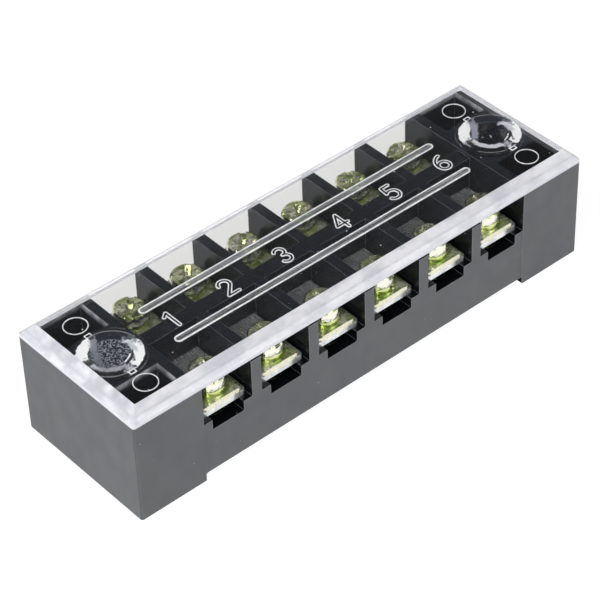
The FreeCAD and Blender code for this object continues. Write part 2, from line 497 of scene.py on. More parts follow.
@dataclass(frozen=True)
class Finish:
    """A real surface, made into a material on its first use."""

    name: str

    def material(self) -> bpy.types.Material:
        """The finish's material."""
        found = bpy.data.materials.get(self.name)
        if found:
            return found
        made = bpy.data.materials.new(self.name)
        made.use_nodes = True
        made.node_tree.nodes.clear()
        surface = self.shade(made.node_tree)
        add_node(made.node_tree, "ShaderNodeOutputMaterial", {"Surface": surface})
        return made

    def shade(self, tree: Tree) -> Link:
        """Builds the finish's nodes.

        Args:
            tree: The empty tree of its material.

        Returns:
            The shader of its surface.
        """
        raise NotImplementedError


@dataclass(frozen=True)
class BottomEdgeMark:
    """A small dark mark on the housing's bottom edge: its middle and its reach, in millimetres."""

    middle: tuple[float, float, float]
    reach: tuple[float, float, float]

    def mask(self, tree: Tree, place: Link) -> Link:
        """Where the mark darkens the plastic.

        Args:
            tree: The material's tree.
            place: Coordinates in millimetres.

        Returns:
            1 inside the mark and 0 outside.
        """
        centred = add_node(tree, "ShaderNodeVectorMath", {0: place, 1: self.middle}, operation="SUBTRACT")
        scaled = add_node(tree, "ShaderNodeVectorMath", {0: centred, 1: self.reach}, operation="DIVIDE")
        away = add_node(tree, "ShaderNodeVectorMath", {0: scaled}, operation="LENGTH")
        return add_node(
            tree, "ShaderNodeMapRange", {"Value": away.outputs["Value"], "From Min": 1.0, "From Max": 0.6}
        )


@dataclass(frozen=True)
class MouldedPbt(Finish):
    """Black flame-retardant PBT, injection moulded.

    The outer walls come from a spark-eroded mould face: matt, so they pick up a broad grey sheen.
    The chambers and the top come from polished steel and stay near black with a soft gloss.
    A pair of numbers holds the value inside and the value on the outer walls.
    """

    outer: tuple[str, str, str] = ("#57595c", "#4b4d50", "#5d5d5e")
    inner: tuple[str, str, str] = ("#191d22", "#12151a", "#20252c")
    dust: str = "#b9babe"
    # Painted highlight along the edges.
    chalk: str = "#a0a2a7"
    # Painted light: grey strips on the tapered pocket mouths.
    mouth: str = "#b6b8bd"
    bottom_edge_dark: str = "#2a2a2b"
    # Painted shade: the chambers' depth goes to this near black.
    deep: str = "#08090a"
    half_length: float = 36.2
    half_width: float = 10.85
    depth_shade_low: float = 11.0
    depth_shade_high: float = 14.4
    depth_shade_share: float = 0.9
    mouth_tilt: float = 0.24
    mouth_spread: float = 0.06
    mouth_low: float = 13.7
    mouth_high: float = 14.5
    mouth_light_patches: Cloud = Cloud(1.6, 0.3)
    # Flow marks of the melt run up the walls, about 1.5 mm wide and several times as long.
    flow: Cloud = Cloud(1.5, 0.0, 0.22, stretch=(1, 1, 7))
    shades: Cloud = Cloud(9.0, 0.0, 0.3)
    # Dust grains are about 0.1 mm across.
    grains: Specks = Specks(1.8, 0.035)
    # Painted highlight: edges are drawn lighter for about 0.1 mm, for the light that their rounding
    # catches.
    chalk_width: float = 0.13
    chalk_share: float = 0.55
    roughness: Point = (0.2, 0.56)
    uneven: Cloud = Cloud(2.5, -0.03, 0.05)
    # The polished steel leaves a smooth skin that mirrors less of the white surroundings.
    mirror: Point = (0.27, 0.5)
    # Below the bars the walls keep the mould's dull skin, and they mirror next to nothing.
    bar_bottom: float = 8.8
    bar_fade: float = 0.3
    under_bars: float = -0.24
    # Spark grain is about 0.05 mm; drawn at 0.14 mm so that a render can hold it.
    spark_grain: Relief = Relief(0.14, 0.02)
    grain_strength: Point = (0.015, 0.1)
    ior: float = 1.55
    # Dark marks along the bottom edge of the left end.
    bottom_edge_marks: tuple[BottomEdgeMark, ...] = (
        BottomEdgeMark((-36.25, -2.75, 0.05), (0.3, 0.4, 0.2)),
        BottomEdgeMark((-36.25, -4.1, 0.0), (0.3, 1.3, 0.09)),
        BottomEdgeMark((-36.25, -9.6, 0.0), (0.4, 1.2, 0.07)),
        BottomEdgeMark((-36.2, 10.95, 0.1), (0.4, 0.45, 0.35)),
        BottomEdgeMark((-36.25, 6.5, 0.0), (0.4, 3.5, 0.06)),
    )

    def shade(self, tree: Tree) -> Link:
        """Builds the matt outside, the glossy inside with painted shade in its depth, flow streaks, dust,
        painted strips of light on the pocket mouths, painted edge highlights and dark marks along the
        bottom edge.
        """
        place = millimetres(tree)
        axes = add_node(tree, "ShaderNodeSeparateXYZ", {0: place})
        height = axes.outputs["Z"]
        outside = self.outer_walls(tree, axes)
        rough, mirror, grain = (
            add_node(tree, "ShaderNodeMapRange", {"Value": outside, "To Min": low, "To Max": high})
            for low, high in (self.roughness, self.mirror, self.grain_strength)
        )
        # Painted shade: the chambers go to black towards their depth, where less light reaches.
        painted_depth_shade = add_node(
            tree, "ShaderNodeMapRange",
            {
                "Value": height, "From Min": self.depth_shade_high, "From Max": self.depth_shade_low,
                "To Max": self.depth_shade_share,
            },
        )
        plain, streaked, patchy = (
            layered(tree, linear(inner), [(painted_depth_shade, linear(self.deep)), (outside, linear(outer))])
            for inner, outer in zip(self.inner, self.outer)
        )
        chalk = add_node(
            tree, "ShaderNodeMath", {0: painted_edge_mask(tree, self.chalk_width), 1: self.chalk_share},
            operation="MULTIPLY",
        )
        layers = [
            (self.flow.value(tree, place), streaked),
            (self.shades.value(tree, place), patchy),
            (self.painted_mouth_strips(tree, place, height), linear(self.mouth)),
            (self.grains.value(tree, place), linear(self.dust)),
            (chalk, linear(self.chalk)),
        ]
        layers += [(edge_mark.mask(tree, place), linear(self.bottom_edge_dark)) for edge_mark in self.bottom_edge_marks]
        uneven = self.uneven.value(tree, place)
        below = add_node(
            tree, "ShaderNodeMapRange",
            {"Value": height, "From Min": self.bar_bottom, "From Max": self.bar_bottom - self.bar_fade},
        )
        under = add_node(
            tree, "ShaderNodeMath", {0: below, 1: outside}, operation="SUBTRACT", use_clamp=True
        )
        return add_node(
            tree, "ShaderNodeBsdfPrincipled",
            {
                "Base Color": layered(tree, plain, layers),
                "Roughness": add_node(tree, "ShaderNodeMath", {0: rough, 1: uneven}, operation="ADD"),
                "Normal": self.spark_grain.normal(tree, place, grain),
                "IOR": self.ior,
                "Specular IOR Level": add_node(
                    tree, "ShaderNodeMath", {0: under, 1: self.under_bars, 2: mirror},
                    operation="MULTIPLY_ADD",
                ),
            },
        )

    def outer_walls(self, tree: Tree, axes: bpy.types.Node) -> Link:
        """Tells the outer walls from the chambers.

        Args:
            tree: The material's tree.
            axes: Node that gives the coordinates in millimetres.

        Returns:
            1 on the four outer walls and 0 inside them.
        """
        walls = []
        for axis, reach in (("X", self.half_length), ("Y", self.half_width)):
            away = add_node(tree, "ShaderNodeMath", {0: axes.outputs[axis]}, operation="ABSOLUTE")
            walls.append(add_node(tree, "ShaderNodeMath", {0: away, 1: reach}, operation="GREATER_THAN"))
        return add_node(tree, "ShaderNodeMath", {0: walls[0], 1: walls[1]}, operation="MAXIMUM")

    def painted_mouth_strips(self, tree: Tree, place: Link, height: Link) -> Link:
        """Finds the tapered mouths of the corner pockets, where grey strips are painted for the light that
        they catch.

        Args:
            tree: The material's tree.
            place: Coordinates in millimetres.
            height: Height in millimetres.

        Returns:
            The painted strips' strength, greatest at the top.
        """
        surface_side = add_node(tree, "ShaderNodeNewGeometry")
        tilt = add_node(tree, "ShaderNodeSeparateXYZ", {0: surface_side.outputs["True Normal"]})
        sloped = add_node(
            tree, "ShaderNodeMath", {0: tilt.outputs["Z"], 1: self.mouth_tilt, 2: self.mouth_spread},
            operation="COMPARE",
        )
        rising = add_node(
            tree, "ShaderNodeMapRange",
            {"Value": height, "From Min": self.mouth_low, "From Max": self.mouth_high},
            interpolation_type="SMOOTHSTEP",
        )
        mouth = add_node(tree, "ShaderNodeMath", {0: sloped, 1: rising}, operation="MULTIPLY")
        light_patches = self.mouth_light_patches.value(tree, place)
        return add_node(tree, "ShaderNodeMath", {0: mouth, 1: light_patches}, operation="MULTIPLY")


@dataclass(frozen=True)
class ClearPolycarbonate(Finish):
    """Clear polycarbonate from a polished mould face.

    It bends what lies under it and mirrors the sky faintly. Where it is moulded as a rib, milky streaks
    run along it.
    """

    tint: str = "#e6e6e5"
    haze: str = "#eef0f5"
    milk: float = 0.0
    # Hairline scratches are a few hundredths wide; drawn 0.2 mm wide and 12 mm long, very shallow.
    hairlines: Cloud = Cloud(0.2, 0.0, 0.05, stretch=(60, 1, 1), detail=1.0)
    ripple: Relief = Relief(3.0, 0.02)
    ripple_strength: float = 0.05
    grains: Specks = Specks(2.4, 0.035)
    streak_width: float = 0.14
    ior: float = 1.5

    def shade(self, tree: Tree) -> Link:
        """Builds clear plastic with hairline scratches, a few grains of dust and streaks."""
        place = millimetres(tree)
        clear = add_node(
            tree, "ShaderNodeBsdfPrincipled",
            {
                "Base Color": linear(self.tint), "Transmission Weight": 1.0, "IOR": self.ior,
                "Roughness": self.hairlines.value(tree, place),
                "Normal": self.ripple.normal(tree, place, self.ripple_strength),
            },
        )
        pale = add_node(tree, "ShaderNodeBsdfDiffuse", {"Color": linear(self.haze)})
        hazy = self.grains.value(tree, place)
        if self.milk:
            milk = Cloud(self.streak_width, -0.3 * self.milk, self.milk, stretch=(70, 1, 1))
            streaks = milk.value(tree, place)
            hazy = add_node(tree, "ShaderNodeMath", {0: hazy, 1: streaks}, operation="MAXIMUM")
        mixed = add_node(tree, "ShaderNodeMixShader", {0: hazy, 1: clear, 2: pale})
        return lets_lamps_through(tree, mixed)


@dataclass(frozen=True)
class FrostedPolycarbonate(Finish):
    """The same plastic from a stoned mould face: the cover's edge scatters light and looks milky white.

    Seen from inside, through the plate, it is partly clear and has a painted glow for the light that the
    plate pipes.
    """

    bright: str = "#f4f3f7"
    dull: str = "#bec0c9"
    veil: str = "#e2e2e8"
    left_painted_shade: str = "#b2b5bd"
    seam: str = "#b2b4bd"
    lip: str = "#dfe0e6"
    inner: str = "#f1f1ef"
    dull_patches: Cloud = Cloud(2.6, 0.0, 0.75, stretch=(1.5, 1.5, 0.6), detail=3.0)
    veil_patches: Cloud = Cloud(0.5, 0.0, 0.35)
    # Painted shade: the left end gets darker patches in places, for the dark housing seen through it.
    left_edge: float = -34.5
    left_shade_patches: Cloud = Cloud(2.2, -0.1, 0.75)
    seam_height: float = 15.68
    seam_reach: float = 0.2
    seam_share: float = 0.55
    seam_breaks: Cloud = Cloud(3.0, 0.3)
    lip_top: float = 15.12
    roughness: Cloud = Cloud(1.4, 0.32, 0.5)
    inner_roughness: float = 0.12
    grain: Relief = Relief(0.16, 0.03, detail=2.0)
    grain_strength: float = 0.12
    scatter: float = 0.15
    clearer: float = 0.4
    glow: float = 0.27
    ior: float = 1.5

    def shade(self, tree: Tree) -> Link:
        """Builds a cloudy white with a faint seam, a brighter lip and painted shade on the left end; seen
        from inside it is clearer and has a painted glow.
        """
        place = millimetres(tree)
        axes = add_node(tree, "ShaderNodeSeparateXYZ", {0: place})
        height = axes.outputs["Z"]
        left = add_node(
            tree, "ShaderNodeMath", {0: axes.outputs["X"], 1: self.left_edge}, operation="LESS_THAN"
        )
        lip = add_node(tree, "ShaderNodeMath", {0: height, 1: self.lip_top}, operation="LESS_THAN")
        from_seam = add_node(tree, "ShaderNodeMath", {0: height, 1: self.seam_height}, operation="SUBTRACT")
        away = add_node(tree, "ShaderNodeMath", {0: from_seam}, operation="ABSOLUTE")
        seam = add_node(
            tree, "ShaderNodeMapRange",
            {"Value": away, "From Min": self.seam_reach, "From Max": 0.0, "To Max": self.seam_share},
            interpolation_type="SMOOTHSTEP",
        )
        # Painted shade on the left end, and the broken seam.
        thin, broken = (
            add_node(tree, "ShaderNodeMath", {0: region, 1: cloud.value(tree, place)}, operation="MULTIPLY")
            for region, cloud in ((left, self.left_shade_patches), (seam, self.seam_breaks))
        )
        layers = [
            (self.dull_patches.value(tree, place), linear(self.dull)),
            (self.veil_patches.value(tree, place), linear(self.veil)),
            (thin, linear(self.left_painted_shade)),
            (broken, linear(self.seam)),
            (lip, linear(self.lip)),
        ]
        # Painted glow: seen from inside, the milky part gives out light for what the plate pipes.
        from_inside = add_node(tree, "ShaderNodeNewGeometry").outputs["Backfacing"]
        painted_light, share = (
            add_node(tree, "ShaderNodeMath", {0: from_inside, 1: most}, operation="MULTIPLY")
            for most in (self.glow, self.clearer)
        )
        milky = add_node(
            tree, "ShaderNodeBsdfPrincipled",
            {
                "Base Color": layered(tree, linear(self.bright), layers),
                "Roughness": self.roughness.value(tree, place),
                "Transmission Weight": self.scatter, "IOR": self.ior,
                "Normal": self.grain.normal(tree, place, self.grain_strength),
                "Emission Color": linear(self.bright), "Emission Strength": painted_light,
            },
        )
        clear = add_node(
            tree, "ShaderNodeBsdfPrincipled",
            {
                "Base Color": linear(self.inner), "Transmission Weight": 1.0,
                "Roughness": self.inner_roughness, "IOR": self.ior,
            },
        )
        surface = add_node(tree, "ShaderNodeMixShader", {0: share, 1: milky, 2: clear})
        return lets_lamps_through(tree, surface)


@dataclass(frozen=True)
class LitEdge(Finish):
    """Radiused edge of a moulded line in clear plastic, painted as a white line with a faint glow for the
    light that the edge gathers.
    """

    bright: str = "#ffffff"
    dim: str = "#dcdfe6"
    flicker: Cloud = Cloud(0.9, 0.0, 0.8)
    roughness: float = 0.35
    # Painted glow: the line gives out light though it is no lamp.
    glow: float = 0.14
    through: float = 0.2

    def shade(self, tree: Tree) -> Link:
        """Builds a painted white that flickers along the line, with a painted glow for the piped light."""
        flicker = self.flicker.value(tree, millimetres(tree))
        tone = layered(tree, linear(self.bright), [(flicker, linear(self.dim))])
        front = add_node(
            tree, "ShaderNodeBsdfPrincipled",
            {
                "Base Color": tone, "Roughness": self.roughness,
                "Emission Color": tone, "Emission Strength": self.glow,
            },
        )
        back = add_node(tree, "ShaderNodeBsdfTranslucent", {"Color": tone})
        return add_node(tree, "ShaderNodeMixShader", {0: self.through, 1: front, 2: back})


@dataclass(frozen=True)
class PassivatedZinc(Finish):
    """Steel with electroplated zinc and a yellow passivate.

    A bright metal under a thin, slightly cloudy film: greenish yellow on flat faces and darker where
    the film is thick, cream on sheared and turned sides. The threads get painted shade, the rim and
    recess a painted dark contour, and the edges a painted highlight.
    """

    pale: str = "#fafbe4"
    green: str = "#d9e6a6"
    deep: str = "#93ab55"
    side: str = "#fbf9ee"
    # Painted highlight along the edges.
    worn: str = "#fdfdf4"
    # Painted shade: the threads below the head, and the dark contour round the rim and recess, take this
    # colour.
    thread: str = "#4a5634"
    film: Cloud = Cloud(1.9, 0.0, 0.9, detail=1.5)
    thick_film: Cloud = Cloud(1.0, -0.9, 0.75, detail=1.0)
    side_share: float = 0.9
    worn_width: float = 0.08
    worn_share: float = 0.6
    # Painted dark reflection: a dark band of 0.3 mm along the rim and the recess.
    contour_shade_width: float = 0.3
    contour_shade: float = 0.0
    # Shearing leaves upright lines about 0.05 mm apart; drawn at 0.14 mm so that a render can hold them.
    shear_width: float = 0.14
    sheared: float = 0.3
    thread_top: float = 0.0
    relief: Relief = Relief(0.45, 0.3, detail=3.0)
    dents: float = 0.08
    shine: float = 0.7
    roughness: float = 0.2

    def shade(self, tree: Tree) -> Link:
        """Builds the film's drifting colour, the paler sides, painted shade on the threads, a painted dark
        contour and painted edge highlights.
        """
        place = millimetres(tree)
        height = add_node(tree, "ShaderNodeSeparateXYZ", {0: place}).outputs["Z"]
        surface_side = add_node(tree, "ShaderNodeNewGeometry")
        normal = add_node(tree, "ShaderNodeSeparateXYZ", {0: surface_side.outputs["True Normal"]})
        rise = add_node(tree, "ShaderNodeMath", {0: normal.outputs["Z"]}, operation="ABSOLUTE")
        upright = add_node(
            tree, "ShaderNodeMapRange",
            {"Value": rise, "From Min": 0.55, "From Max": 0.3, "To Max": self.side_share},
        )
        # Painted shade: all below the top of the thread is drawn dark.
        low = add_node(tree, "ShaderNodeMath", {0: height, 1: self.thread_top}, operation="LESS_THAN")
        worn, painted_contour_shade = (
            add_node(tree, "ShaderNodeMath", {0: painted_edge_mask(tree, width), 1: share}, operation="MULTIPLY")
            for width, share in ((self.worn_width, self.worn_share), (self.contour_shade_width, self.contour_shade))
        )
        shear = Cloud(self.shear_width, 0.0, self.sheared, stretch=(1, 1, 6), detail=1.0)
        sides = layered(tree, linear(self.side), [(shear.value(tree, place), linear(self.green))])
        layers = [
            (self.film.value(tree, place), linear(self.green)),
            (self.thick_film.value(tree, place), linear(self.deep)),
            (upright, sides),
            (painted_contour_shade, linear(self.thread)),
            (worn, linear(self.worn)),
            (low, linear(self.thread)),
        ]
        roughness = Cloud(0.9, self.roughness - 0.05, self.roughness + 0.08)
        return add_node(
            tree, "ShaderNodeBsdfPrincipled",
            {
                "Base Color": layered(tree, linear(self.pale), layers),
                "Metallic": self.shine,
                "Roughness": roughness.value(tree, place),
                "Normal": self.relief.normal(tree, place, self.dents),
            },
        )


@dataclass(frozen=True)
class TinnedBrass(Finish):
    """Brass strip with matt tin plating: a pale warm metal whose sheared ends look nearly white."""

    bright: str = "#f6f7f8"
    dim: str = "#d6d9db"
    tarnish: Cloud = Cloud(1.2)
    # Rolling lines run along the strip; they show as roughness.
    rolled: Cloud = Cloud(0.7, 0.26, 0.28, stretch=(1, 20, 1))
    shine: float = 0.8

    def shade(self, tree: Tree) -> Link:
        """Builds tin with rolling lines along the strip."""
        place = millimetres(tree)
        tarnish = self.tarnish.value(tree, place)
        return add_node(
            tree, "ShaderNodeBsdfPrincipled",
            {
                "Base Color": layered(tree, linear(self.bright), [(tarnish, linear(self.dim))]),
                "Metallic": self.shine, "Roughness": self.rolled.value(tree, place),
            },
        )


@dataclass(frozen=True)
class WhitePaper(Finish):
    """White paper: white to the eye and in reflections, with a contact shadow, and clear from below."""

    grey: float = 0.82
    glow: float = 1.1
    glow_share: float = 0.86

    def shade(self, tree: Tree) -> Link:
        """Builds matt paper that glows for the rays that see it and is clear from its underside."""
        path = add_node(tree, "ShaderNodeLightPath")
        seen = path.outputs["Is Camera Ray"]
        for ray in ("Is Glossy Ray", "Is Transmission Ray"):
            seen = add_node(tree, "ShaderNodeMath", {0: seen, 1: path.outputs[ray]}, operation="MAXIMUM")
        share = add_node(tree, "ShaderNodeMath", {0: seen, 1: self.glow_share}, operation="MULTIPLY")
        matt = add_node(tree, "ShaderNodeBsdfDiffuse", {"Color": (self.grey, self.grey, self.grey, 1.0)})
        white = add_node(tree, "ShaderNodeEmission", {"Color": WHITE, "Strength": self.glow})
        paper = add_node(tree, "ShaderNodeMixShader", {0: share, 1: matt, 2: white})
        from_below = add_node(tree, "ShaderNodeNewGeometry").outputs["Backfacing"]
        nothing = add_node(tree, "ShaderNodeBsdfTransparent")
        return add_node(tree, "ShaderNodeMixShader", {0: from_below, 1: paper, 2: nothing})


HOUSING_PLASTIC = MouldedPbt("black_moulded_pbt")
CLEAR_PLASTIC = ClearPolycarbonate("clear_polycarbonate_polished")
RIB_PLASTIC = ClearPolycarbonate("clear_polycarbonate_streaked_rib", milk=0.3)
FROSTED_PLASTIC = FrostedPolycarbonate("clear_polycarbonate_frosted_edge")
PAINTED_LIGHT_LINE = LitEdge("moulded_line_painted_light")
SCREW_ZINC = PassivatedZinc(
    "yellow_passivated_zinc_screw", pale="#fdfbe0", green="#ccd98c", deep="#7b9350",
    shine=0.95, roughness=0.1, dents=0.35, contour_shade=0.6, sheared=0.0, thread_top=11.2,
)
CLAMP_ZINC = PassivatedZinc(
    "yellow_passivated_zinc_clamp", pale="#f4f6dc", green="#bccb84", deep="#7d9448", side="#f5f0de",
    shine=0.72,
)
RING_ZINC = PassivatedZinc(
    "yellow_passivated_zinc_ring", green="#93c455", deep="#4c8a34", side="#d3dc8c",
    shine=0.97, roughness=0.14, dents=0.14, sheared=0.0,
)
BAR_TIN = TinnedBrass("tinned_brass_strip")
PAPER = WhitePaper("white_paper")


# The studio

@dataclass(frozen=True)
class Lamp:
    """A soft square lamp that faces the part: distance and size in metres, power in watts."""

    name: str
    direction: tuple[float, float, float]
    distance: float
    size: float
    power: float

    def build(self, aim: Vector) -> None:
        """Hangs the lamp.

        Args:
            aim: Point that it faces, in metres.
        """
        data = bpy.data.lights.new(self.name, "AREA")
        data.shape = "SQUARE"
        data.size = self.size
        data.energy = self.power
        lamp = bpy.data.objects.new(self.name, data)
        lamp.location = aim + Vector(self.direction).normalized() * self.distance
        lamp.rotation_euler = (aim - lamp.location).to_track_quat("-Z", "Y").to_euler()
        bpy.context.scene.collection.objects.link(lamp)


@dataclass
class Studio:
    """White floor, soft lamps, a sky that is white low down and dark overhead, and the camera."""

    floor_size: float = 4.0
    floor_drop: float = 0.02
    camera_place: tuple[float, float, float] = (-151.575, -179.251, 208.582)
    camera_aim: tuple[float, float, float] = (-2.883, -1.245, 8.3)
    camera_roll: float = -2.062
    lens: float = 148.884
    sensor: float = 36.0
    clip: Point = (0.01, 20.0)
    sky_dark: Colour = (0.1, 0.103, 0.11, 1.0)
    horizon: float = 0.16
    overhead: float = 0.5
    lamps: tuple[Lamp, ...] = (
        Lamp("key_lamp", (-0.75, -0.35, 0.8), 0.7, 0.45, 3.95),
        Lamp("front_lamp", (0.3, -0.85, 0.5), 0.7, 0.4, 0.9),
        Lamp("rear_lamp", (-0.62, 0.58, 0.45), 0.7, 0.35, 0.8),
    )

    def build(self) -> None:
        """Builds the whole studio."""
        settings = bpy.context.scene.view_settings
        settings.view_transform = "Standard"
        self.build_floor()
        self.build_sky()
        self.build_camera()
        for lamp in self.lamps:
            lamp.build(Vector(self.camera_aim) * MM)

    def build_floor(self) -> None:
        """Builds the paper floor, which lies a hair under the feet."""
        half = self.floor_size / 2
        level = -self.floor_drop * MM
        corners = [(-half, -half, level), (half, -half, level), (half, half, level), (-half, half, level)]
        mesh = bpy.data.meshes.new("studio_floor")
        mesh.from_pydata(corners, [], [(0, 1, 2, 3)])
        dress(mesh, PAPER)
        floor = add_piece("studio_floor", mesh)

    def build_sky(self) -> None:
        """Builds the surround: white near the horizon, dark above, and plain white to the camera."""
        world = bpy.data.worlds.new("studio_surround")
        bpy.context.scene.world = world
        world.use_nodes = True
        tree = world.node_tree
        tree.nodes.clear()
        place = add_node(tree, "ShaderNodeTexCoord")
        axes = add_node(tree, "ShaderNodeSeparateXYZ", {0: place.outputs["Object"]})
        height = add_node(
            tree, "ShaderNodeMapRange",
            {"Value": axes.outputs["Z"], "From Min": self.horizon, "From Max": self.overhead},
            interpolation_type="SMOOTHSTEP",
        )
        seen = add_node(tree, "ShaderNodeLightPath").outputs["Is Camera Ray"]
        tone = layered(tree, WHITE, [(height, self.sky_dark), (seen, WHITE)])
        sky = add_node(tree, "ShaderNodeBackground", {"Color": tone, "Strength": 1.0})
        add_node(tree, "ShaderNodeOutputWorld", {"Surface": sky})

    def build_camera(self) -> None:
        """Builds the camera at the photograph's viewing angle."""
        data = bpy.data.cameras.new("camera")
        data.lens = self.lens
        data.sensor_width = self.sensor
        data.clip_start, data.clip_end = self.clip
        camera = bpy.data.objects.new("camera", data)
        place = Vector(self.camera_place) * MM
        toward = Vector(self.camera_aim) * MM - place
        level = toward.to_track_quat("-Z", "Y")
        camera.location = place
        camera.rotation_mode = "QUATERNION"
        camera.rotation_quaternion = level @ Quaternion((0, 0, 1), math.radians(self.camera_roll))
        bpy.context.scene.collection.objects.link(camera)
        bpy.context.scene.camera = camera


# The moulded housing and the bars

@dataclass
class Housing:
    """Black moulding with twelve wire chambers, end blocks and mounting holes."""

    edge_rounding: float = 0.09

    def build(self) -> None:
        """Rounds the moulding's edges and dresses it."""
        place_solid("moulded_housing", "housing", "housing", self.edge_rounding, HOUSING_PLASTIC)


@dataclass
class TerminalBars:
    """Six plated strips, one for each pole."""

    poles: int = 6
    edge_rounding: float = 0.03

    def build(self) -> None:
        """Rounds the sheared edges of each strip and dresses it."""
        for pole in range(1, self.poles + 1):
            node = f"terminal_bar_{pole}"
            place_solid(f"strip_{pole}", node, "housing", self.edge_rounding, BAR_TIN)


# Screws and washers

FASTENING_SOCKETS = {
    "X": "NodeSocketFloat",
    "Y": "NodeSocketFloat",
    "Turn": "NodeSocketFloat",
    "Metal": "NodeSocketMaterial",
}


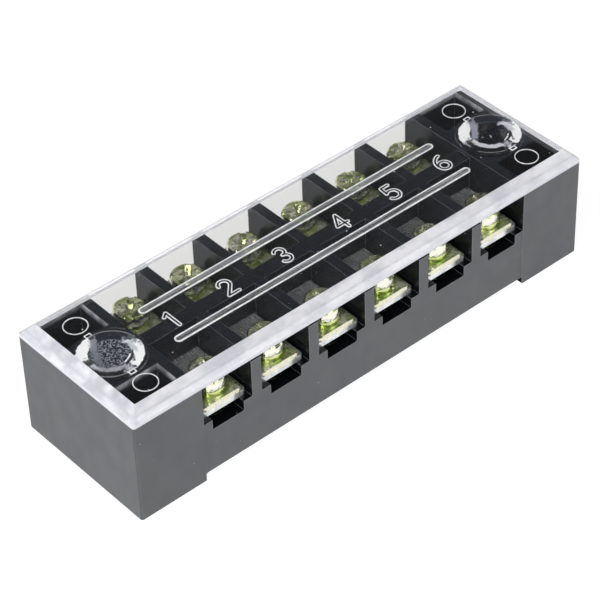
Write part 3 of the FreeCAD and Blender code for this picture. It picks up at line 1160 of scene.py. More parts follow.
@dataclass
class Fastenings:
    """Twelve sets of clamp washer, spring washer and pan-head screw."""

    poles: int = 6
    pitch: float = 9.0
    row_offset: float = 7.25
    turn_step: float = 47.0
    clamp_rounding: float = 0.035
    clamp_top: float = 10.4
    head_seat: float = 11.25
    head_radius: float = 2.25
    head_height: float = 1.55
    head_edge: float = 0.65
    head_facets: int = 48
    rim_facets: int = 6
    slot_width: float = 0.75
    slot_depth: float = 0.55
    cross_span: float = 2.9
    cross_width: float = 0.85
    cross_depth: float = 1.05
    cross_taper: float = 0.45
    cross_over: float = 0.1
    shank_tip: float = 5.25
    core_radius: float = 1.24
    thread_radius: float = 1.49
    thread_pitch: float = 0.5
    core_facets: int = 32
    thread_facets: int = 20
    head_rounding: float = 0.05
    ring_inner: float = 1.62
    ring_outer: float = 2.3
    ring_slit: float = 0.3
    ring_tilt: float = 25.0
    ring_facets: int = 44
    ring_rounding: float = 0.06

    def build(self) -> None:
        """Builds every set, in the order in which the screws are turned."""
        screw_tree = self.screw_tree()
        ring_tree = self.ring_tree()
        count = 0
        for pole in range(1, self.poles + 1):
            for row in Row:
                label = f"{row.label}_{pole}"
                place = {
                    "X": (pole - (self.poles + 1) / 2) * self.pitch,
                    "Y": row.value * self.row_offset,
                    "Turn": math.radians(count * self.turn_step),
                }
                place_solid(
                    "clamp_plate_" + label, "clamp_washer_" + label, "washers_" + label,
                    self.clamp_rounding, CLAMP_ZINC,
                )
                self.build_ring(label, ring_tree, place)
                self.build_screw(label, screw_tree, place)
                count += 1

    def build_ring(self, label: str, tree: Tree, place: dict[str, float]) -> None:
        """Builds one spring washer.

        Args:
            label: Row and pole.
            tree: The spring washer's tree.
            place: The tree's inputs X, Y and Turn.
        """
        name = "spring_ring_" + label
        mesh = run_tree(name, tree, {**place, "Metal": RING_ZINC.material()})
        mesh = softened(name, mesh, self.ring_rounding, sharp=50.0)
        place_piece(name, mesh, "washers_" + label, "spring_washer_" + label)

    def build_screw(self, label: str, tree: Tree, place: dict[str, float]) -> None:
        """Builds one screw.

        Args:
            label: Row and pole.
            tree: The screw's tree.
            place: The tree's inputs X, Y and Turn.
        """
        name = "pan_screw_" + label
        mesh = run_tree(name, tree, {**place, "Metal": SCREW_ZINC.material()})
        mesh = softened(name, mesh, self.head_rounding, sharp=40.0)
        place_piece(name, mesh, "terminal_screw_" + label, "terminal_screw_" + label)

    def placed(self, tree: Tree, shape: Link, sockets: dict[str, Link]) -> Link:
        """Turns a shape about Z and moves it to its pole.

        Args:
            tree: The tree.
            shape: Shape round the origin, in millimetres.
            sockets: The tree's inputs X, Y and Turn.

        Returns:
            The shape in its place.
        """
        spot = add_node(tree, "ShaderNodeCombineXYZ", {0: sockets["X"], 1: sockets["Y"]})
        turn = add_node(tree, "ShaderNodeCombineXYZ", {2: sockets["Turn"]})
        return add_node(
            tree, "GeometryNodeTransform", {"Geometry": shape, "Translation": spot, "Rotation": turn}
        )

    def screw_tree(self) -> Tree:
        """Builds the screw's tree.

        Returns:
            The tree.
        """
        tree, sockets = new_tree("pan_head_screw", FASTENING_SOCKETS)
        parts = [self.screw_head(tree), *self.screw_shank(tree)]
        joined = add_node(tree, "GeometryNodeJoinGeometry", {"Geometry": parts})
        end_tree(tree, self.placed(tree, joined, sockets), sockets["Metal"])
        return tree

    def screw_head(self, tree: Tree) -> Link:
        """Turns the pan head and cuts its slot and cross.

        Args:
            tree: The screw's tree.

        Returns:
            The head.
        """
        head_top = self.head_seat + self.head_height
        section = add_node(
            tree, "GeometryNodeCurvePrimitiveQuadrilateral",
            {
                "Point 1": (0.0, -self.head_seat, 0.0),
                "Point 2": (self.head_radius, -self.head_seat, 0.0),
                "Point 3": (self.head_radius, -head_top, 0.0),
                "Point 4": (0.0, -head_top, 0.0),
            },
            mode="POINTS",
        )
        # Only the section's third point, the head's rim, is rounded.
        index = add_node(tree, "GeometryNodeInputIndex")
        is_rim = add_node(
            tree, "FunctionNodeCompare", {2: index, 3: 2}, data_type="INT", operation="EQUAL"
        )
        rounding = add_node(tree, "ShaderNodeMath", {0: is_rim, 1: self.head_edge}, operation="MULTIPLY")
        rounded = add_node(
            tree, "GeometryNodeFilletCurve",
            {"Curve": section, "Count": self.rim_facets, "Radius": rounding},
            mode="POLY",
        )
        # The section runs round a circle that is almost a point, and the seam on the axis is merged.
        axis = add_node(
            tree, "GeometryNodeCurvePrimitiveCircle", {"Resolution": self.head_facets, "Radius": 0.0005},
            mode="RADIUS",
        )
        turned = add_node(tree, "GeometryNodeCurveToMesh", {"Curve": axis, "Profile Curve": rounded})
        closed = add_node(tree, "GeometryNodeMergeByDistance", {"Geometry": turned, "Distance": 0.002})
        slot = add_node(
            tree, "GeometryNodeMeshCube",
            {"Size": (self.head_radius * 3, self.slot_width, self.slot_depth * 2)},
        )
        slot_placed = add_node(
            tree, "GeometryNodeTransform", {"Geometry": slot, "Translation": (0.0, 0.0, head_top)}
        )
        mouth = 1 + self.cross_over * (1 - self.cross_taper) / self.cross_depth
        wedge = add_node(
            tree, "GeometryNodeMeshCone",
            {
                "Vertices": 4, "Side Segments": 1, "Radius Top": mouth * math.sqrt(0.5),
                "Radius Bottom": self.cross_taper * math.sqrt(0.5),
                "Depth": self.cross_depth + self.cross_over,
            },
            fill_type="NGON",
        )
        squared = add_node(
            tree, "GeometryNodeTransform", {"Geometry": wedge, "Rotation": (0.0, 0.0, math.radians(45))}
        )
        bottom = (0.0, 0.0, head_top - self.cross_depth)
        along, across = self.cross_span, self.cross_width
        wings = [
            add_node(
                tree, "GeometryNodeTransform", {"Geometry": squared, "Translation": bottom, "Scale": scale}
            )
            for scale in ((along, across, 1.0), (across, along, 1.0))
        ]
        return add_node(
            tree, "GeometryNodeMeshBoolean", {"Mesh 1": closed, "Mesh 2": [slot_placed, *wings]},
            operation="DIFFERENCE", solver="EXACT",
        )

    def screw_shank(self, tree: Tree) -> list[Link]:
        """Builds the core and the rolled thread round it.

        Args:
            tree: The screw's tree.

        Returns:
            The core and the thread.
        """
        length = self.head_seat - self.shank_tip
        core = add_node(
            tree, "GeometryNodeMeshCylinder",
            {"Vertices": self.core_facets, "Radius": self.core_radius, "Depth": length},
            fill_type="NGON",
        )
        crest = self.thread_radius - self.core_radius
        run = length - 2 * crest
        path_radius = self.core_radius + crest * 0.25
        helix = add_node(
            tree, "GeometryNodeCurveSpiral",
            {
                "Resolution": self.thread_facets, "Rotations": run / self.thread_pitch, "Height": run,
                "Start Radius": path_radius, "End Radius": path_radius,
            },
        )
        # The thread's section is a triangle, a quarter of its height sunk in the core.
        ridge = add_node(
            tree, "GeometryNodeCurvePrimitiveCircle", {"Resolution": 3, "Radius": crest * 0.75},
            mode="RADIUS",
        )
        rolled = add_node(
            tree, "GeometryNodeCurveToMesh", {"Curve": helix, "Profile Curve": ridge, "Fill Caps": True}
        )
        return [
            add_node(tree, "GeometryNodeTransform", {"Geometry": part, "Translation": (0.0, 0.0, height)})
            for part, height in ((core, self.shank_tip + length / 2), (rolled, self.shank_tip + crest))
        ]

    def ring_tree(self) -> Tree:
        """Builds the spring washer's tree: a section along an open arc, sheared so that its slit slants.

        Returns:
            The tree.
        """
        tree, sockets = new_tree("spring_washer", FASTENING_SOCKETS)
        middle = (self.ring_inner + self.ring_outer) / 2
        gap = self.ring_slit / middle
        arc = add_node(
            tree, "GeometryNodeCurveArc",
            {
                "Resolution": self.ring_facets, "Radius": middle, "Start Angle": gap / 2,
                "Sweep Angle": 2 * math.pi - gap,
            },
            mode="RADIUS",
        )
        section = add_node(
            tree, "GeometryNodeCurvePrimitiveQuadrilateral",
            {"Width": self.ring_outer - self.ring_inner, "Height": self.head_seat - self.clamp_top},
            mode="RECTANGLE",
        )
        ring = add_node(
            tree, "GeometryNodeCurveToMesh", {"Curve": arc, "Profile Curve": section, "Fill Caps": True}
        )
        position = add_node(tree, "GeometryNodeInputPosition")
        axes = add_node(tree, "ShaderNodeSeparateXYZ", {0: position})
        lean = add_node(
            tree, "ShaderNodeMath",
            {0: axes.outputs["Z"], 1: -math.tan(math.radians(self.ring_tilt)) / middle},
            operation="MULTIPLY",
        )
        sheared = add_node(
            tree, "ShaderNodeVectorRotate", {"Vector": position, "Angle": lean}, rotation_type="Z_AXIS"
        )
        slanted = add_node(tree, "GeometryNodeSetPosition", {"Geometry": ring, "Position": sheared})
        raised = add_node(
            tree, "GeometryNodeTransform",
            {"Geometry": slanted, "Translation": (0.0, 0.0, (self.clamp_top + self.head_seat) / 2)},
        )
        end_tree(tree, self.placed(tree, raised, sockets), sockets["Metal"])
        return tree


# The clear cover

def arc_points(x: float, y: float, radius: float, start: float, end: float, step: float = 12.0) -> Stroke:
    """Points along a circular arc.

    Args:
        x: Centre on X.
        y: Centre on Y.
        radius: Radius.
        start: First angle in degrees.
        end: Last angle in degrees.
        step: Largest angle between two points.

    Returns:
        The points from start to end.
    """
    count = max(2, math.ceil(abs(end - start) / step))
    angles = [math.radians(start + (end - start) * i / count) for i in range(count + 1)]
    return [(x + radius * math.cos(a), y + radius * math.sin(a)) for a in angles]


def digit_strokes(digit: int) -> list[Stroke]:
    """Centre lines of a round moulded digit, 2.7 mm high round the origin, broken at sharp corners.

    Args:
        digit: 1 to 6.

    Returns:
        The strokes, in millimetres.
    """
    if digit == 1:
        return [[(-0.5, 0.85), (0.1, 1.35)], [(0.1, 1.35), (0.1, -1.35)]]
    if digit == 2:
        bowl = arc_points(0, 0.6, 0.75, 172, -38)
        return [bowl, [bowl[-1], (-0.75, -1.35)], [(-0.75, -1.35), (0.78, -1.35)]]
    if digit == 3:
        return [arc_points(0, 0.68, 0.67, 152, -90), arc_points(0, -0.67, 0.68, 90, -152)]
    if digit == 4:
        top, corner = (0.38, 1.35), (-0.8, -0.55)
        return [[top, (0.38, -1.35)], [top, corner], [corner, (0.85, -0.55)]]
    if digit == 5:
        bowl = arc_points(-0.02, -0.5, 0.85, 135, -148)
        return [[(0.62, 1.35), (-0.48, 1.35)], [(-0.48, 1.35), bowl[0]], bowl]
    stem = arc_points(0.95, -0.4, 1.76, 180, 101)
    return [arc_points(0, -0.58, 0.77, 0, 360), stem]


@dataclass
class Cover:
    """Clear cover: a bevelled plate with ribs, digits and marks under it, and a split plug at each end."""

    half_length: float = 36.25
    half_width: float = 11.0
    rim_bottom: float = 14.6
    lip_height: float = 0.5
    top: float = 16.6
    bevel_inset: float = 1.6
    rim_width: float = 1.2
    underside: float = 15.1
    corner_radius: float = 0.35
    inner_radius: float = 0.3
    bevel_radius: float = 0.12
    corner_steps: int = 5
    edge_rounding: float = 0.07
    rib_length: float = 47.8
    rib_width: float = 1.15
    rib_height: float = 0.35
    rib_offset: float = 3.4
    mark_radius: float = 1.5
    mark_offset: float = 6.65
    plug_offset: float = 30.9
    plug_outer: float = 4.05
    plug_inner: float = 2.5
    plug_tip: float = 10.6
    plug_slit: float = 0.8
    plug_chamfer: float = 0.3
    plug_rounding: float = 0.1
    plug_steps: int = 30
    face_margin: float = 0.5
    slit_margin: Point = (-0.1, 0.42)
    digit_width: float = 0.56
    digit_height: float = 0.2
    digit_y: float = -0.2
    digit_spots: tuple[float, ...] = (-21.8, -13.3, -4.5, 4.8, 13.4, 22.1)
    rib_bead: float = 0.2
    digit_bead: float = 0.15
    mark_line: float = 0.12
    bead_height: float = 0.07
    bead_gap: float = 0.01
    gap: float = 0.015
    face_gap: float = 0.03

    def build(self) -> None:
        """Builds the plate and everything under it."""
        self.build_plate()
        tree = self.line_tree()
        self.build_ribs(tree)
        self.build_digits(tree)
        self.build_marks(tree)
        for side, face in ((-1, PlugFace.ETCHED), (1, PlugFace.POLISHED)):
            self.build_plug(side, face)

    def outline(self, inset: float, radius: float, z: float) -> list[Vector]:
        """Rounded rectangle at a height.

        Args:
            inset: Distance in from the cover's outline.
            radius: Corner radius.
            z: Height.

        Returns:
            The points, counter-clockwise from above, in metres.
        """
        reach_x = self.half_length - inset - radius
        reach_y = self.half_width - inset - radius
        step = 90 / self.corner_steps
        points = []
        for turn, (sx, sy) in enumerate(((1, 1), (-1, 1), (-1, -1), (1, -1))):
            corner = arc_points(sx * reach_x, sy * reach_y, radius, turn * 90, turn * 90 + 90, step)
            points += [Vector((x, y, z)) * MM for x, y in corner]
        return points

    def build_plate(self) -> None:
        """Builds the plate from rounded loops: frosted round the outside, and clear elsewhere."""
        lip_top = self.rim_bottom + self.lip_height
        loops = [
            self.outline(self.rim_width, self.inner_radius, self.underside),
            self.outline(self.rim_width, self.inner_radius, self.rim_bottom),
            self.outline(0.0, self.corner_radius, self.rim_bottom),
            self.outline(0.0, self.corner_radius, lip_top),
            self.outline(self.bevel_inset, self.bevel_radius, self.top),
        ]
        shape = bmesh.new()
        rings = [[shape.verts.new(p) for p in loop] for loop in loops]
        shape.faces.new(rings[0])
        shape.faces.new(rings[-1])
        for lower, upper in zip(rings, rings[1:]):
            close_ring(shape, lower, upper, slot=int(lower is not rings[0]))
        start = finished_mesh("cover_plate_start", shape)
        mesh = softened("cover_plate", start, self.edge_rounding, sharp=30.0)
        dress(mesh, CLEAR_PLASTIC, FROSTED_PLASTIC)
        place_piece("cover_plate", mesh, "cover", "cover")

    def line_tree(self) -> Tree:
        """Builds the tree that turns centre lines into a rounded line of a given width and height.

        With a hollow it leaves only the rim of the line, and without one the whole line.

        Returns:
            The tree.
        """
        tree, sockets = new_tree(
            "moulded_line",
            {
                "Width": "NodeSocketFloat",
                "Height": "NodeSocketFloat",
                "Top": "NodeSocketFloat",
                "Hollow": "NodeSocketFloat",
                "Plastic": "NodeSocketMaterial",
            },
        )
        lines = add_node(tree, "GeometryNodeMeshToCurve", {"Mesh": sockets["Geometry"]})
        upright = add_node(tree, "GeometryNodeSetCurveNormal", {"Curve": lines}, mode="Z_UP")
        ends = add_node(tree, "GeometryNodeCurveEndpointSelection")
        # The body that hollows the line stands out above and below, so that the cut is clean.
        tall = add_node(tree, "ShaderNodeMath", {0: sockets["Height"], 1: 0.1}, operation="ADD")
        thin = add_node(
            tree, "ShaderNodeMath", {0: sockets["Width"], 1: sockets["Hollow"]}, operation="SUBTRACT"
        )
        bodies = []
        for width, height in ((sockets["Width"], sockets["Height"]), (thin, tall)):
            section = add_node(
                tree, "GeometryNodeCurvePrimitiveQuadrilateral", {"Width": width, "Height": height},
                mode="RECTANGLE",
            )
            bar = add_node(
                tree, "GeometryNodeCurveToMesh",
                {"Curve": upright, "Profile Curve": section, "Fill Caps": True},
            )
            # A round puck closes each end of a stroke.
            radius = add_node(tree, "ShaderNodeMath", {0: width, 1: 0.5}, operation="MULTIPLY")
            puck = add_node(
                tree, "GeometryNodeMeshCylinder", {"Vertices": 20, "Radius": radius, "Depth": height},
                fill_type="NGON",
            )
            pucks = add_node(
                tree, "GeometryNodeInstanceOnPoints",
                {"Points": upright, "Selection": ends, "Instance": puck},
            )
            real = add_node(tree, "GeometryNodeRealizeInstances", {"Geometry": pucks})
            joined = add_node(
                tree, "GeometryNodeMeshBoolean", {"Mesh 2": [bar, real], "Self Intersection": True},
                operation="UNION", solver="EXACT",
            )
            bodies.append(joined)
        rim = add_node(
            tree, "GeometryNodeMeshBoolean", {"Mesh 1": bodies[0], "Mesh 2": bodies[1]},
            operation="DIFFERENCE", solver="EXACT",
        )
        hollow = add_node(
            tree, "FunctionNodeCompare", {0: sockets["Hollow"], 1: 0.0},
            data_type="FLOAT", operation="GREATER_THAN",
        )
        chosen = add_node(
            tree, "GeometryNodeSwitch", {"Switch": hollow, "False": bodies[0], "True": rim},
            input_type="GEOMETRY",
        )
        half = add_node(tree, "ShaderNodeMath", {0: sockets["Height"], 1: 0.5}, operation="MULTIPLY")
        level = add_node(tree, "ShaderNodeMath", {0: sockets["Top"], 1: half}, operation="SUBTRACT")
        lift = add_node(tree, "ShaderNodeCombineXYZ", {2: level})
        placed = add_node(tree, "GeometryNodeTransform", {"Geometry": chosen, "Translation": lift})
        end_tree(tree, placed, sockets["Plastic"])
        return tree

    def build_lines(
        self,
        name: str,
        tree: Tree,
        strokes: list[Stroke],
        width: float,
        height: float,
        bead: float,
        inside: Finish,
    ) -> None:
        """Builds lines under the plate: a rim painted as white light along each, and a clear body inside
        it.

        Args:
            name: Name of the pieces.
            tree: The line tree.
            strokes: Centre lines in millimetres.
            width: Width over the rims.
            height: Height of the clear body.
            bead: Width of the painted white rim.
            inside: Finish of the clear body.
        """
        body_width = width - 2 * (bead + self.bead_gap)
        for part, across, tall, hollow, finish in (
            ("edge", width, self.bead_height, 2 * bead, PAINTED_LIGHT_LINE),
            ("body", body_width, height - self.gap, 0.0, inside),
        ):
            mesh = self.line_mesh(f"{name}_{part}", tree, strokes, across, tall, hollow, finish)
            mesh.shade_smooth()
            mesh.set_sharp_from_angle(angle=math.radians(40))
            place_piece(f"{name}_{part}", mesh, "cover")

    def line_mesh(
        self,
        name: str,
        tree: Tree,
        strokes: list[Stroke],
        width: float,
        height: float,
        hollow: float,
        finish: Finish,
    ) -> bpy.types.Mesh:
        """Runs the line tree on strokes, just under the plate.

        Args:
            name: Name of the mesh.
            tree: The line tree.
            strokes: Centre lines in millimetres.
            width: Width of the line.
            height: Height of the line.
            hollow: How much narrower the line's hollow is, or 0 for a full line.
            finish: Finish of the line.

        Returns:
            The mesh.
        """
        values = {
            "Width": width,
            "Height": height,
            "Top": self.underside - self.gap,
            "Hollow": hollow,
            "Plastic": finish.material(),
        }
        return run_tree(name, tree, values, self.stroke_mesh(name + "_start", strokes))

    def stroke_mesh(self, name: str, strokes: list[Stroke]) -> bpy.types.Mesh:
        """Puts strokes in a mesh of edges.

        Args:
            name: Name of the mesh.
            strokes: Centre lines in millimetres. One that ends where it starts is closed.

        Returns:
            The mesh, in millimetres.
        """
        points = []
        edges = []
        for stroke in strokes:
            closed = math.dist(stroke[0], stroke[-1]) < 1e-6
            line = stroke[:-1] if closed else stroke
            first = len(points)
            points += [(x, y, 0.0) for x, y in line]
            edges += [(first + i, first + i + 1) for i in range(len(line) - 1)]
            if closed:
                edges.append((len(points) - 1, first))
        mesh = bpy.data.meshes.new(name)
        mesh.from_pydata(points, edges, [])
        return mesh

    def build_ribs(self, tree: Tree) -> None:
        """Builds the two long stiffening ribs.

        Args:
            tree: The line tree.
        """
        reach = (self.rib_length - self.rib_width) / 2
        strokes = [[(-reach, y), (reach, y)] for y in (-self.rib_offset, self.rib_offset)]
        self.build_lines(
            "cover_rib", tree, strokes, self.rib_width, self.rib_height, self.rib_bead, RIB_PLASTIC
        )

    def build_digits(self, tree: Tree) -> None:
        """Builds the position numbers 1 to 6 between the ribs.

        Args:
            tree: The line tree.
        """
        strokes = []
        for digit, x in enumerate(self.digit_spots, start=1):
            for stroke in digit_strokes(digit):
                strokes.append([(x + dx, self.digit_y + dy) for dx, dy in stroke])
        width, height = self.digit_width, self.digit_height
        self.build_lines("cover_digit", tree, strokes, width, height, self.digit_bead, CLEAR_PLASTIC)

    def build_marks(self, tree: Tree) -> None:
        """Builds the four round ejector marks and the rims of the plugs' slits, all as painted white lines
        of light.

        Args:
            tree: The line tree.
        """
        places = [(sx * self.plug_offset, sy) for sx in (-1, 1) for sy in (-1, 1)]
        strokes = [arc_points(x, sy * self.mark_offset, self.mark_radius, 0, 360, 10) for x, sy in places]
        reach = self.plug_slit / 2
        for x, sy in places:
            near, far = (sy * (self.plug_outer + margin) for margin in self.slit_margin)
            corners = [(x - reach, near), (x + reach, near), (x + reach, far), (x - reach, far)]
            strokes += [[corners[i], corners[(i + 1) % 4]] for i in range(4)]
        name = "cover_mark_edge"
        mesh = self.line_mesh(name, tree, strokes, self.mark_line, self.bead_height, 0.0, PAINTED_LIGHT_LINE)
        place_piece(name, mesh, "cover")

    def build_plug(self, side: int, face: PlugFace) -> None:
        """Builds one split hollow plug and the thin face in which its painted light shows.

        Args:
            side: -1 for the left end and 1 for the right end.
            face: Look of the plate inside its ring.
        """
        name = f"cover_plug_{'left' if side < 0 else 'right'}"
        centre = side * self.plug_offset
        top = self.underside - self.gap - self.bead_height - self.gap
        section = [
            (self.plug_inner, top),
            (self.plug_inner, self.plug_tip),
            (self.plug_outer - self.plug_chamfer, self.plug_tip),
            (self.plug_outer, self.plug_tip + self.plug_chamfer),
            (self.plug_outer, top),
        ]
        shape = bmesh.new()
        for wing in (0, 180):
            rings = []
            for i in range(self.plug_steps + 1):
                ring = []
                for radius, z in section:
                    lean = math.degrees(math.asin(self.plug_slit / 2 / radius))
                    angle = math.radians(wing - 90 + lean + (180 - 2 * lean) * i / self.plug_steps)
                    spot = Vector((centre + radius * math.cos(angle), radius * math.sin(angle), z))
                    ring.append(shape.verts.new(spot * MM))
                rings.append(ring)
            shape.faces.new(rings[0])
            shape.faces.new(rings[-1])
            for first, second in zip(rings, rings[1:]):
                close_ring(shape, first, second)
        mesh = softened(name, finished_mesh(name + "_start", shape), self.plug_rounding)
        dress(mesh, CLEAR_PLASTIC)
        place_piece(name, mesh, "cover")
        self.build_plug_face(name + "_face", side, face)

    def build_plug_face(self, name: str, side: int, face: PlugFace) -> None:
        """Builds the thin round face just under the plate, cut off where it would reach the cover's rim.

        Args:
            name: Name of the piece.
            side: -1 for the left end and 1 for the right end.
            face: Look of the plate inside the ring.
        """
        limit = self.half_length - self.rim_width - self.face_gap
        centre = side * self.plug_offset
        top = self.underside - self.gap
        circle = arc_points(centre, 0.0, self.plug_outer + self.face_margin, 0, 355, 5)
        shape = bmesh.new()
        rings = []
        for z in (top - self.bead_height, top):
            points = [Vector((max(-limit, min(limit, x)), y, z)) * MM for x, y in circle]
            rings.append([shape.verts.new(point) for point in points])
        shape.faces.new(rings[0])
        shape.faces.new(rings[1])
        close_ring(shape, *rings)
        mesh = finished_mesh(name, shape)
        dress(mesh, PlugLight(f"clear_polycarbonate_{face.value}_plug", centre, face))
        place_piece(name, mesh, "cover")


# The painted light in the plugs

@dataclass(frozen=True)
class FacePlace:
    """Places on a plug's face, as sockets of its material, in millimetres from the plug's centre."""

    flat: Link
    unit: Link
    radius: Link
    noise: Link


@dataclass(frozen=True)
class Light:
    """A patch of painted light or painted shade in a plug's face."""

    colour: str
    strength: float = 1.0
    ragged: float = 0.05
    soft: float = 0.06

    def mask(self, tree: Tree, place: FacePlace) -> Link:
        """Where the patch shows.

        Args:
            tree: The material's tree.
            place: Places on the face.

        Returns:
            The patch's strength inside it, and 0 outside.
        """
        raise NotImplementedError

    def within(self, tree: Tree, value: Link | float, measure: Link, edge: float, soft: float) -> Link:
        """Fades a value out past an edge.

        Args:
            tree: The material's tree.
            value: Value inside the edge.
            measure: Distance that the edge limits.
            edge: The edge; a negative one keeps what lies beyond it.
            soft: Width of the fade on each side.

        Returns:
            The faded value.
        """
        side = math.copysign(1, edge)
        step = add_node(
            tree, "ShaderNodeMapRange",
            {"Value": measure, "From Min": abs(edge) + side * soft, "From Max": abs(edge) - side * soft},
            interpolation_type="SMOOTHSTEP",
        )
        return add_node(tree, "ShaderNodeMath", {0: value, 1: step}, operation="MULTIPLY")


@dataclass(frozen=True)
class Arc(Light):
    """Part of a ring, in degrees from +X and millimetres from the centre."""

    middle: float = 0.0
    half_angle: float = 180.0
    inner: float = 2.5
    outer: float = 4.05

    def mask(self, tree: Tree, place: FacePlace) -> Link:
        """Where the arc shows.

        Args:
            tree: The material's tree.
            place: Places on the face.

        Returns:
            The arc's strength inside it, and 0 outside.
        """
        rough = add_node(
            tree, "ShaderNodeMath", {0: place.noise, 1: self.ragged, 2: place.radius},
            operation="MULTIPLY_ADD",
        )
        value = self.within(tree, self.strength, rough, self.outer, self.soft)
        value = self.within(tree, value, rough, -self.inner, self.soft)
        if self.half_angle >= 180:
            return value
        aim = math.radians(self.middle)
        toward = add_node(
            tree, "ShaderNodeVectorMath", {0: place.unit, 1: (math.cos(aim), math.sin(aim), 0)},
            operation="DOT_PRODUCT",
        )
        turned = add_node(tree, "ShaderNodeMath", {0: toward.outputs["Value"]}, operation="ARCCOSINE")
        frayed = add_node(
            tree, "ShaderNodeMath", {0: place.noise, 1: self.ragged, 2: turned}, operation="MULTIPLY_ADD"
        )
        return self.within(tree, value, frayed, math.radians(self.half_angle), self.soft)


@dataclass(frozen=True)
class Streak(Light):
    """A straight band: its middle, its turn in degrees and its half length and width."""

    x: float = 0.0
    y: float = 0.0
    turn: float = 0.0
    half_length: float = 1.0
    half_width: float = 0.2

    def mask(self, tree: Tree, place: FacePlace) -> Link:
        """Where the band shows.

        Args:
            tree: The material's tree.
            place: Places on the face.

        Returns:
            The band's strength inside it, and 0 outside.
        """
        moved = add_node(
            tree, "ShaderNodeVectorMath", {0: place.flat, 1: (self.x, self.y, 0)}, operation="SUBTRACT"
        )
        turned = add_node(
            tree, "ShaderNodeVectorRotate", {"Vector": moved, "Angle": -math.radians(self.turn)},
            rotation_type="Z_AXIS",
        )
        axes = add_node(tree, "ShaderNodeSeparateXYZ", {0: turned})
        value = self.strength
        for axis, reach, soft in (
            ("X", self.half_length, 2 * self.soft),
            ("Y", self.half_width, self.soft),
        ):
            away = add_node(tree, "ShaderNodeMath", {0: axes.outputs[axis]}, operation="ABSOLUTE")
            frayed = add_node(
                tree, "ShaderNodeMath", {0: place.noise, 1: self.ragged, 2: away}, operation="MULTIPLY_ADD"
            )
            value = self.within(tree, value, frayed, reach, soft)
        return value


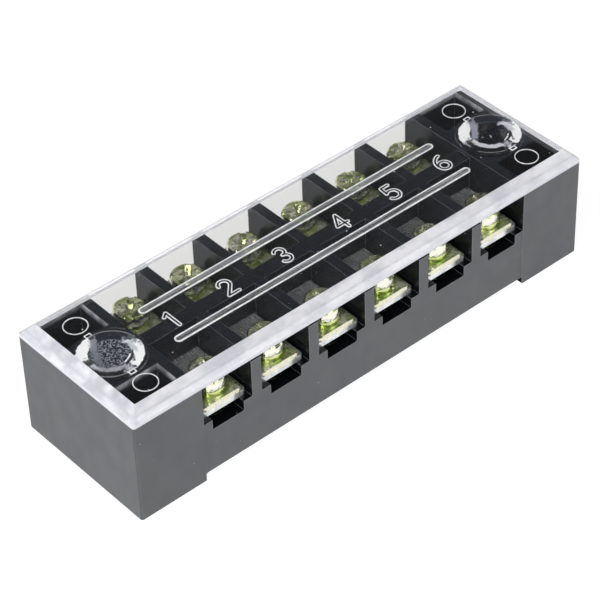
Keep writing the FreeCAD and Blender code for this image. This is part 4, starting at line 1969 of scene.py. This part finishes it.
@dataclass(frozen=True)
class PlugLight(Finish):
    """Clear plastic over a hollow plug.

    The light that the ring's curved wall pipes up is painted: two white crescents with a painted dark gap
    between them, and painted streaks and glints.
    Inside the ring the plate is either etched by the mould or polished.
    """

    centre: float
    face: PlugFace
    fray: Cloud = Cloud(0.5, -1.0, 1.0)
    # The etched face is pitted: a pit of 0.2 mm every 0.3 mm or so.
    pit_size: float = 0.2
    pit: str = "#8f9299"
    hollow_edge: Point = (2.5, 2.3)
    tint: str = "#fafbff"
    roughness: float = 0.03
    ior: float = 1.5

    def both_ends(self) -> list[Light]:
        """The painted light and shade that both plugs show.

        Returns:
            The patches, from the lowest to the topmost.
        """
        return [
            Arc("#262a31", 0.95, middle=50, half_angle=36, outer=3.95),
            Arc("#16191d", 0.85, middle=230, half_angle=28, inner=3.2, outer=3.95),
            Arc("#9295a0", 0.9, 0.0, 0.03, middle=50, half_angle=38, inner=3.9, outer=4.03),
            Arc("#a3a6ad", 0.8, 0.0, 0.03, middle=232, half_angle=28, inner=3.96, outer=4.05),
            Arc("#fdfdff", 1.0, 0.07, middle=130, half_angle=38, inner=2.6),
            Arc("#fdfdff", 1.0, 0.05, middle=-37, half_angle=38, inner=2.75),
            Arc("#c9ccd6", 0.95, 0.1, 0.14, middle=-8, half_angle=25, inner=2.45, outer=3.2),
            Arc("#6c7079", 0.8, 0.2, 0.14, middle=3, half_angle=11, inner=3.2, outer=3.98),
            Streak("#dfe2ea", 0.9, 0.1, 0.1, x=2.75, y=0.35, turn=-22, half_length=0.75, half_width=0.12),
            Streak("#2f333b", 0.85, 0.1, 0.1, x=1.7, y=-2.25, turn=62, half_length=0.8, half_width=0.14),
            Streak("#8b8d98", 0.95, 0.1, 0.1, x=-0.42, y=2.75, turn=57, half_length=1.35, half_width=0.42),
            Streak("#34363d", 0.85, 0.1, 0.06, x=0.05, y=3.75, turn=90, half_length=0.3, half_width=0.3),
            Streak("#d5d6dd", 0.9, 0.12, 0.06, x=-0.72, y=3.1, turn=60, half_length=0.55, half_width=0.07),
            Streak("#a9aab4", 0.9, 0.25, 0.1, x=0.0, y=-3.3, turn=80, half_length=0.65, half_width=0.5),
            Streak("#e1e2e8", 0.9, 0.15, 0.06, x=0.15, y=-3.45, turn=55, half_length=0.75, half_width=0.12),
            Streak("#dcdde3", 0.9, 0.1, 0.05, x=0.1, y=-3.95, turn=2, half_length=0.75, half_width=0.1),
            Streak("#3c3e45", 0.85, 0.12, 0.05, x=0.4, y=-3.15, turn=52, half_length=0.4, half_width=0.07),
            Streak("#3c3e45", 0.85, 0.12, 0.05, x=-0.3, y=-3.4, turn=60, half_length=0.35, half_width=0.06),
            Arc("#ffffff", 1.0, 0.03, 0.04, middle=-62, half_angle=19, inner=2.24, outer=2.42),
            Arc("#8d9098", 0.6, 0.0, 0.03, inner=2.42, outer=2.49),
        ]

    def etched_end(self) -> list[Light]:
        """The painted light and shade that only the plug with the etched face shows.

        Returns:
            The patches, from the lowest to the topmost.
        """
        return [
            Arc("#a9abb3", 0.9, 0.08, 0.12, middle=222, half_angle=42, inner=2.45, outer=3.2),
            Arc("#c9cad1", 0.85, 0.1, 0.1, middle=198, half_angle=18, inner=2.5, outer=2.95),
            Arc("#34322f", 0.92, 0.12, 0.08, middle=169, half_angle=11, inner=2.55, outer=3.3),
            Streak("#6e717b", 0.75, 0.1, 0.4, x=-1.8, y=-0.1, turn=75, half_length=1.7, half_width=0.4),
            Streak("#858892", 0.75, 0.1, 0.25, x=-1.25, y=1.2, turn=57, half_length=1.3, half_width=0.3),
        ]

    def polished_end(self) -> list[Light]:
        """The painted light and shade that only the plug with the polished face shows.

        Returns:
            The patches, from the lowest to the topmost.
        """
        return [
            Arc("#d6d7dd", 0.97, 0.08, 0.1, middle=214, half_angle=50, inner=2.35, outer=3.1),
            Arc("#4a4440", 0.85, 0.15, 0.1, middle=170, half_angle=9, inner=2.75, outer=3.5),
            Arc("#b2b4bb", 0.8, 0.15, 0.1, middle=176, half_angle=7, inner=3.5, outer=3.98),
            Streak("#9c9fad", 0.92, 0.08, 0.18, x=-1.1, y=1.6, turn=47, half_length=1.65, half_width=0.45),
            Streak("#4d4845", 0.75, 0.2, 0.3, x=0.4, y=1.3, turn=35, half_length=0.9, half_width=0.35),
            Streak("#54575a", 0.8, 0.2, 0.3, x=1.35, y=-1.2, turn=52, half_length=1.1, half_width=0.4),
            Streak("#9a9da4", 0.9, 0.1, 0.05, x=-0.4, y=-0.55, turn=60, half_length=0.25, half_width=0.1),
            Streak("#84878f", 0.9, 0.1, 0.05, x=-1.35, y=0.0, turn=20, half_length=0.16, half_width=0.1),
        ]

    def shade(self, tree: Tree) -> Link:
        """Builds clear plastic with the patches of painted light and shade and, where it is etched, pits in
        the middle.
        """
        place = millimetres(tree)
        middle = add_node(
            tree, "ShaderNodeVectorMath", {0: place, 1: (self.centre, 0, 0)}, operation="SUBTRACT"
        )
        flat = add_node(tree, "ShaderNodeVectorMath", {0: middle, 1: (1, 1, 0)}, operation="MULTIPLY")
        spots = FacePlace(
            flat,
            add_node(tree, "ShaderNodeVectorMath", {0: flat}, operation="NORMALIZE"),
            add_node(tree, "ShaderNodeVectorMath", {0: flat}, operation="LENGTH").outputs["Value"],
            self.fray.value(tree, place),
        )
        # The etched ground is dull and pitted and painted grey as lit; the polished one is painted near
        # black as a dark reflection, and lets more of the depth show.
        if self.face is PlugFace.ETCHED:
            ground, ground_share, pitted, lights = "#2a2f38", 0.85, 1.0, self.etched_end()
        else:
            ground, ground_share, pitted, lights = "#0e1116", 0.35, -1.0, self.polished_end()
        edge, full = self.hollow_edge
        cover = add_node(
            tree, "ShaderNodeMapRange",
            {"Value": spots.radius, "From Min": edge, "From Max": full, "To Max": ground_share},
        )
        pits = Cloud(self.pit_size, -1.0, pitted, detail=0.0).value(tree, place)
        colour = layered(tree, linear(ground), [(pits, linear(self.pit))])
        for light in self.both_ends() + lights:
            mask = light.mask(tree, spots)
            colour = layered(tree, colour, [(mask, linear(light.colour))])
            cover = add_node(tree, "ShaderNodeMath", {0: cover, 1: mask}, operation="MAXIMUM")
        clear = add_node(
            tree, "ShaderNodeBsdfPrincipled",
            {
                "Base Color": linear(self.tint), "Transmission Weight": 1.0,
                "Roughness": self.roughness, "IOR": self.ior,
            },
        )
        # Painted light: this diffuse shader carries the painted patches.
        painted_light = add_node(tree, "ShaderNodeBsdfDiffuse", {"Color": colour})
        mixed = add_node(tree, "ShaderNodeMixShader", {0: cover, 1: clear, 2: painted_light})
        return lets_lamps_through(tree, mixed)


# The whole part


def main() -> None:
    """Builds the studio and every sub-assembly, and reports each piece."""
    logging.basicConfig(level=logging.INFO, format="%(message)s")
    Studio().build()
    Housing().build()
    TerminalBars().build()
    Fastenings().build()
    Cover().build()


if __name__ == "__main__":
    main()
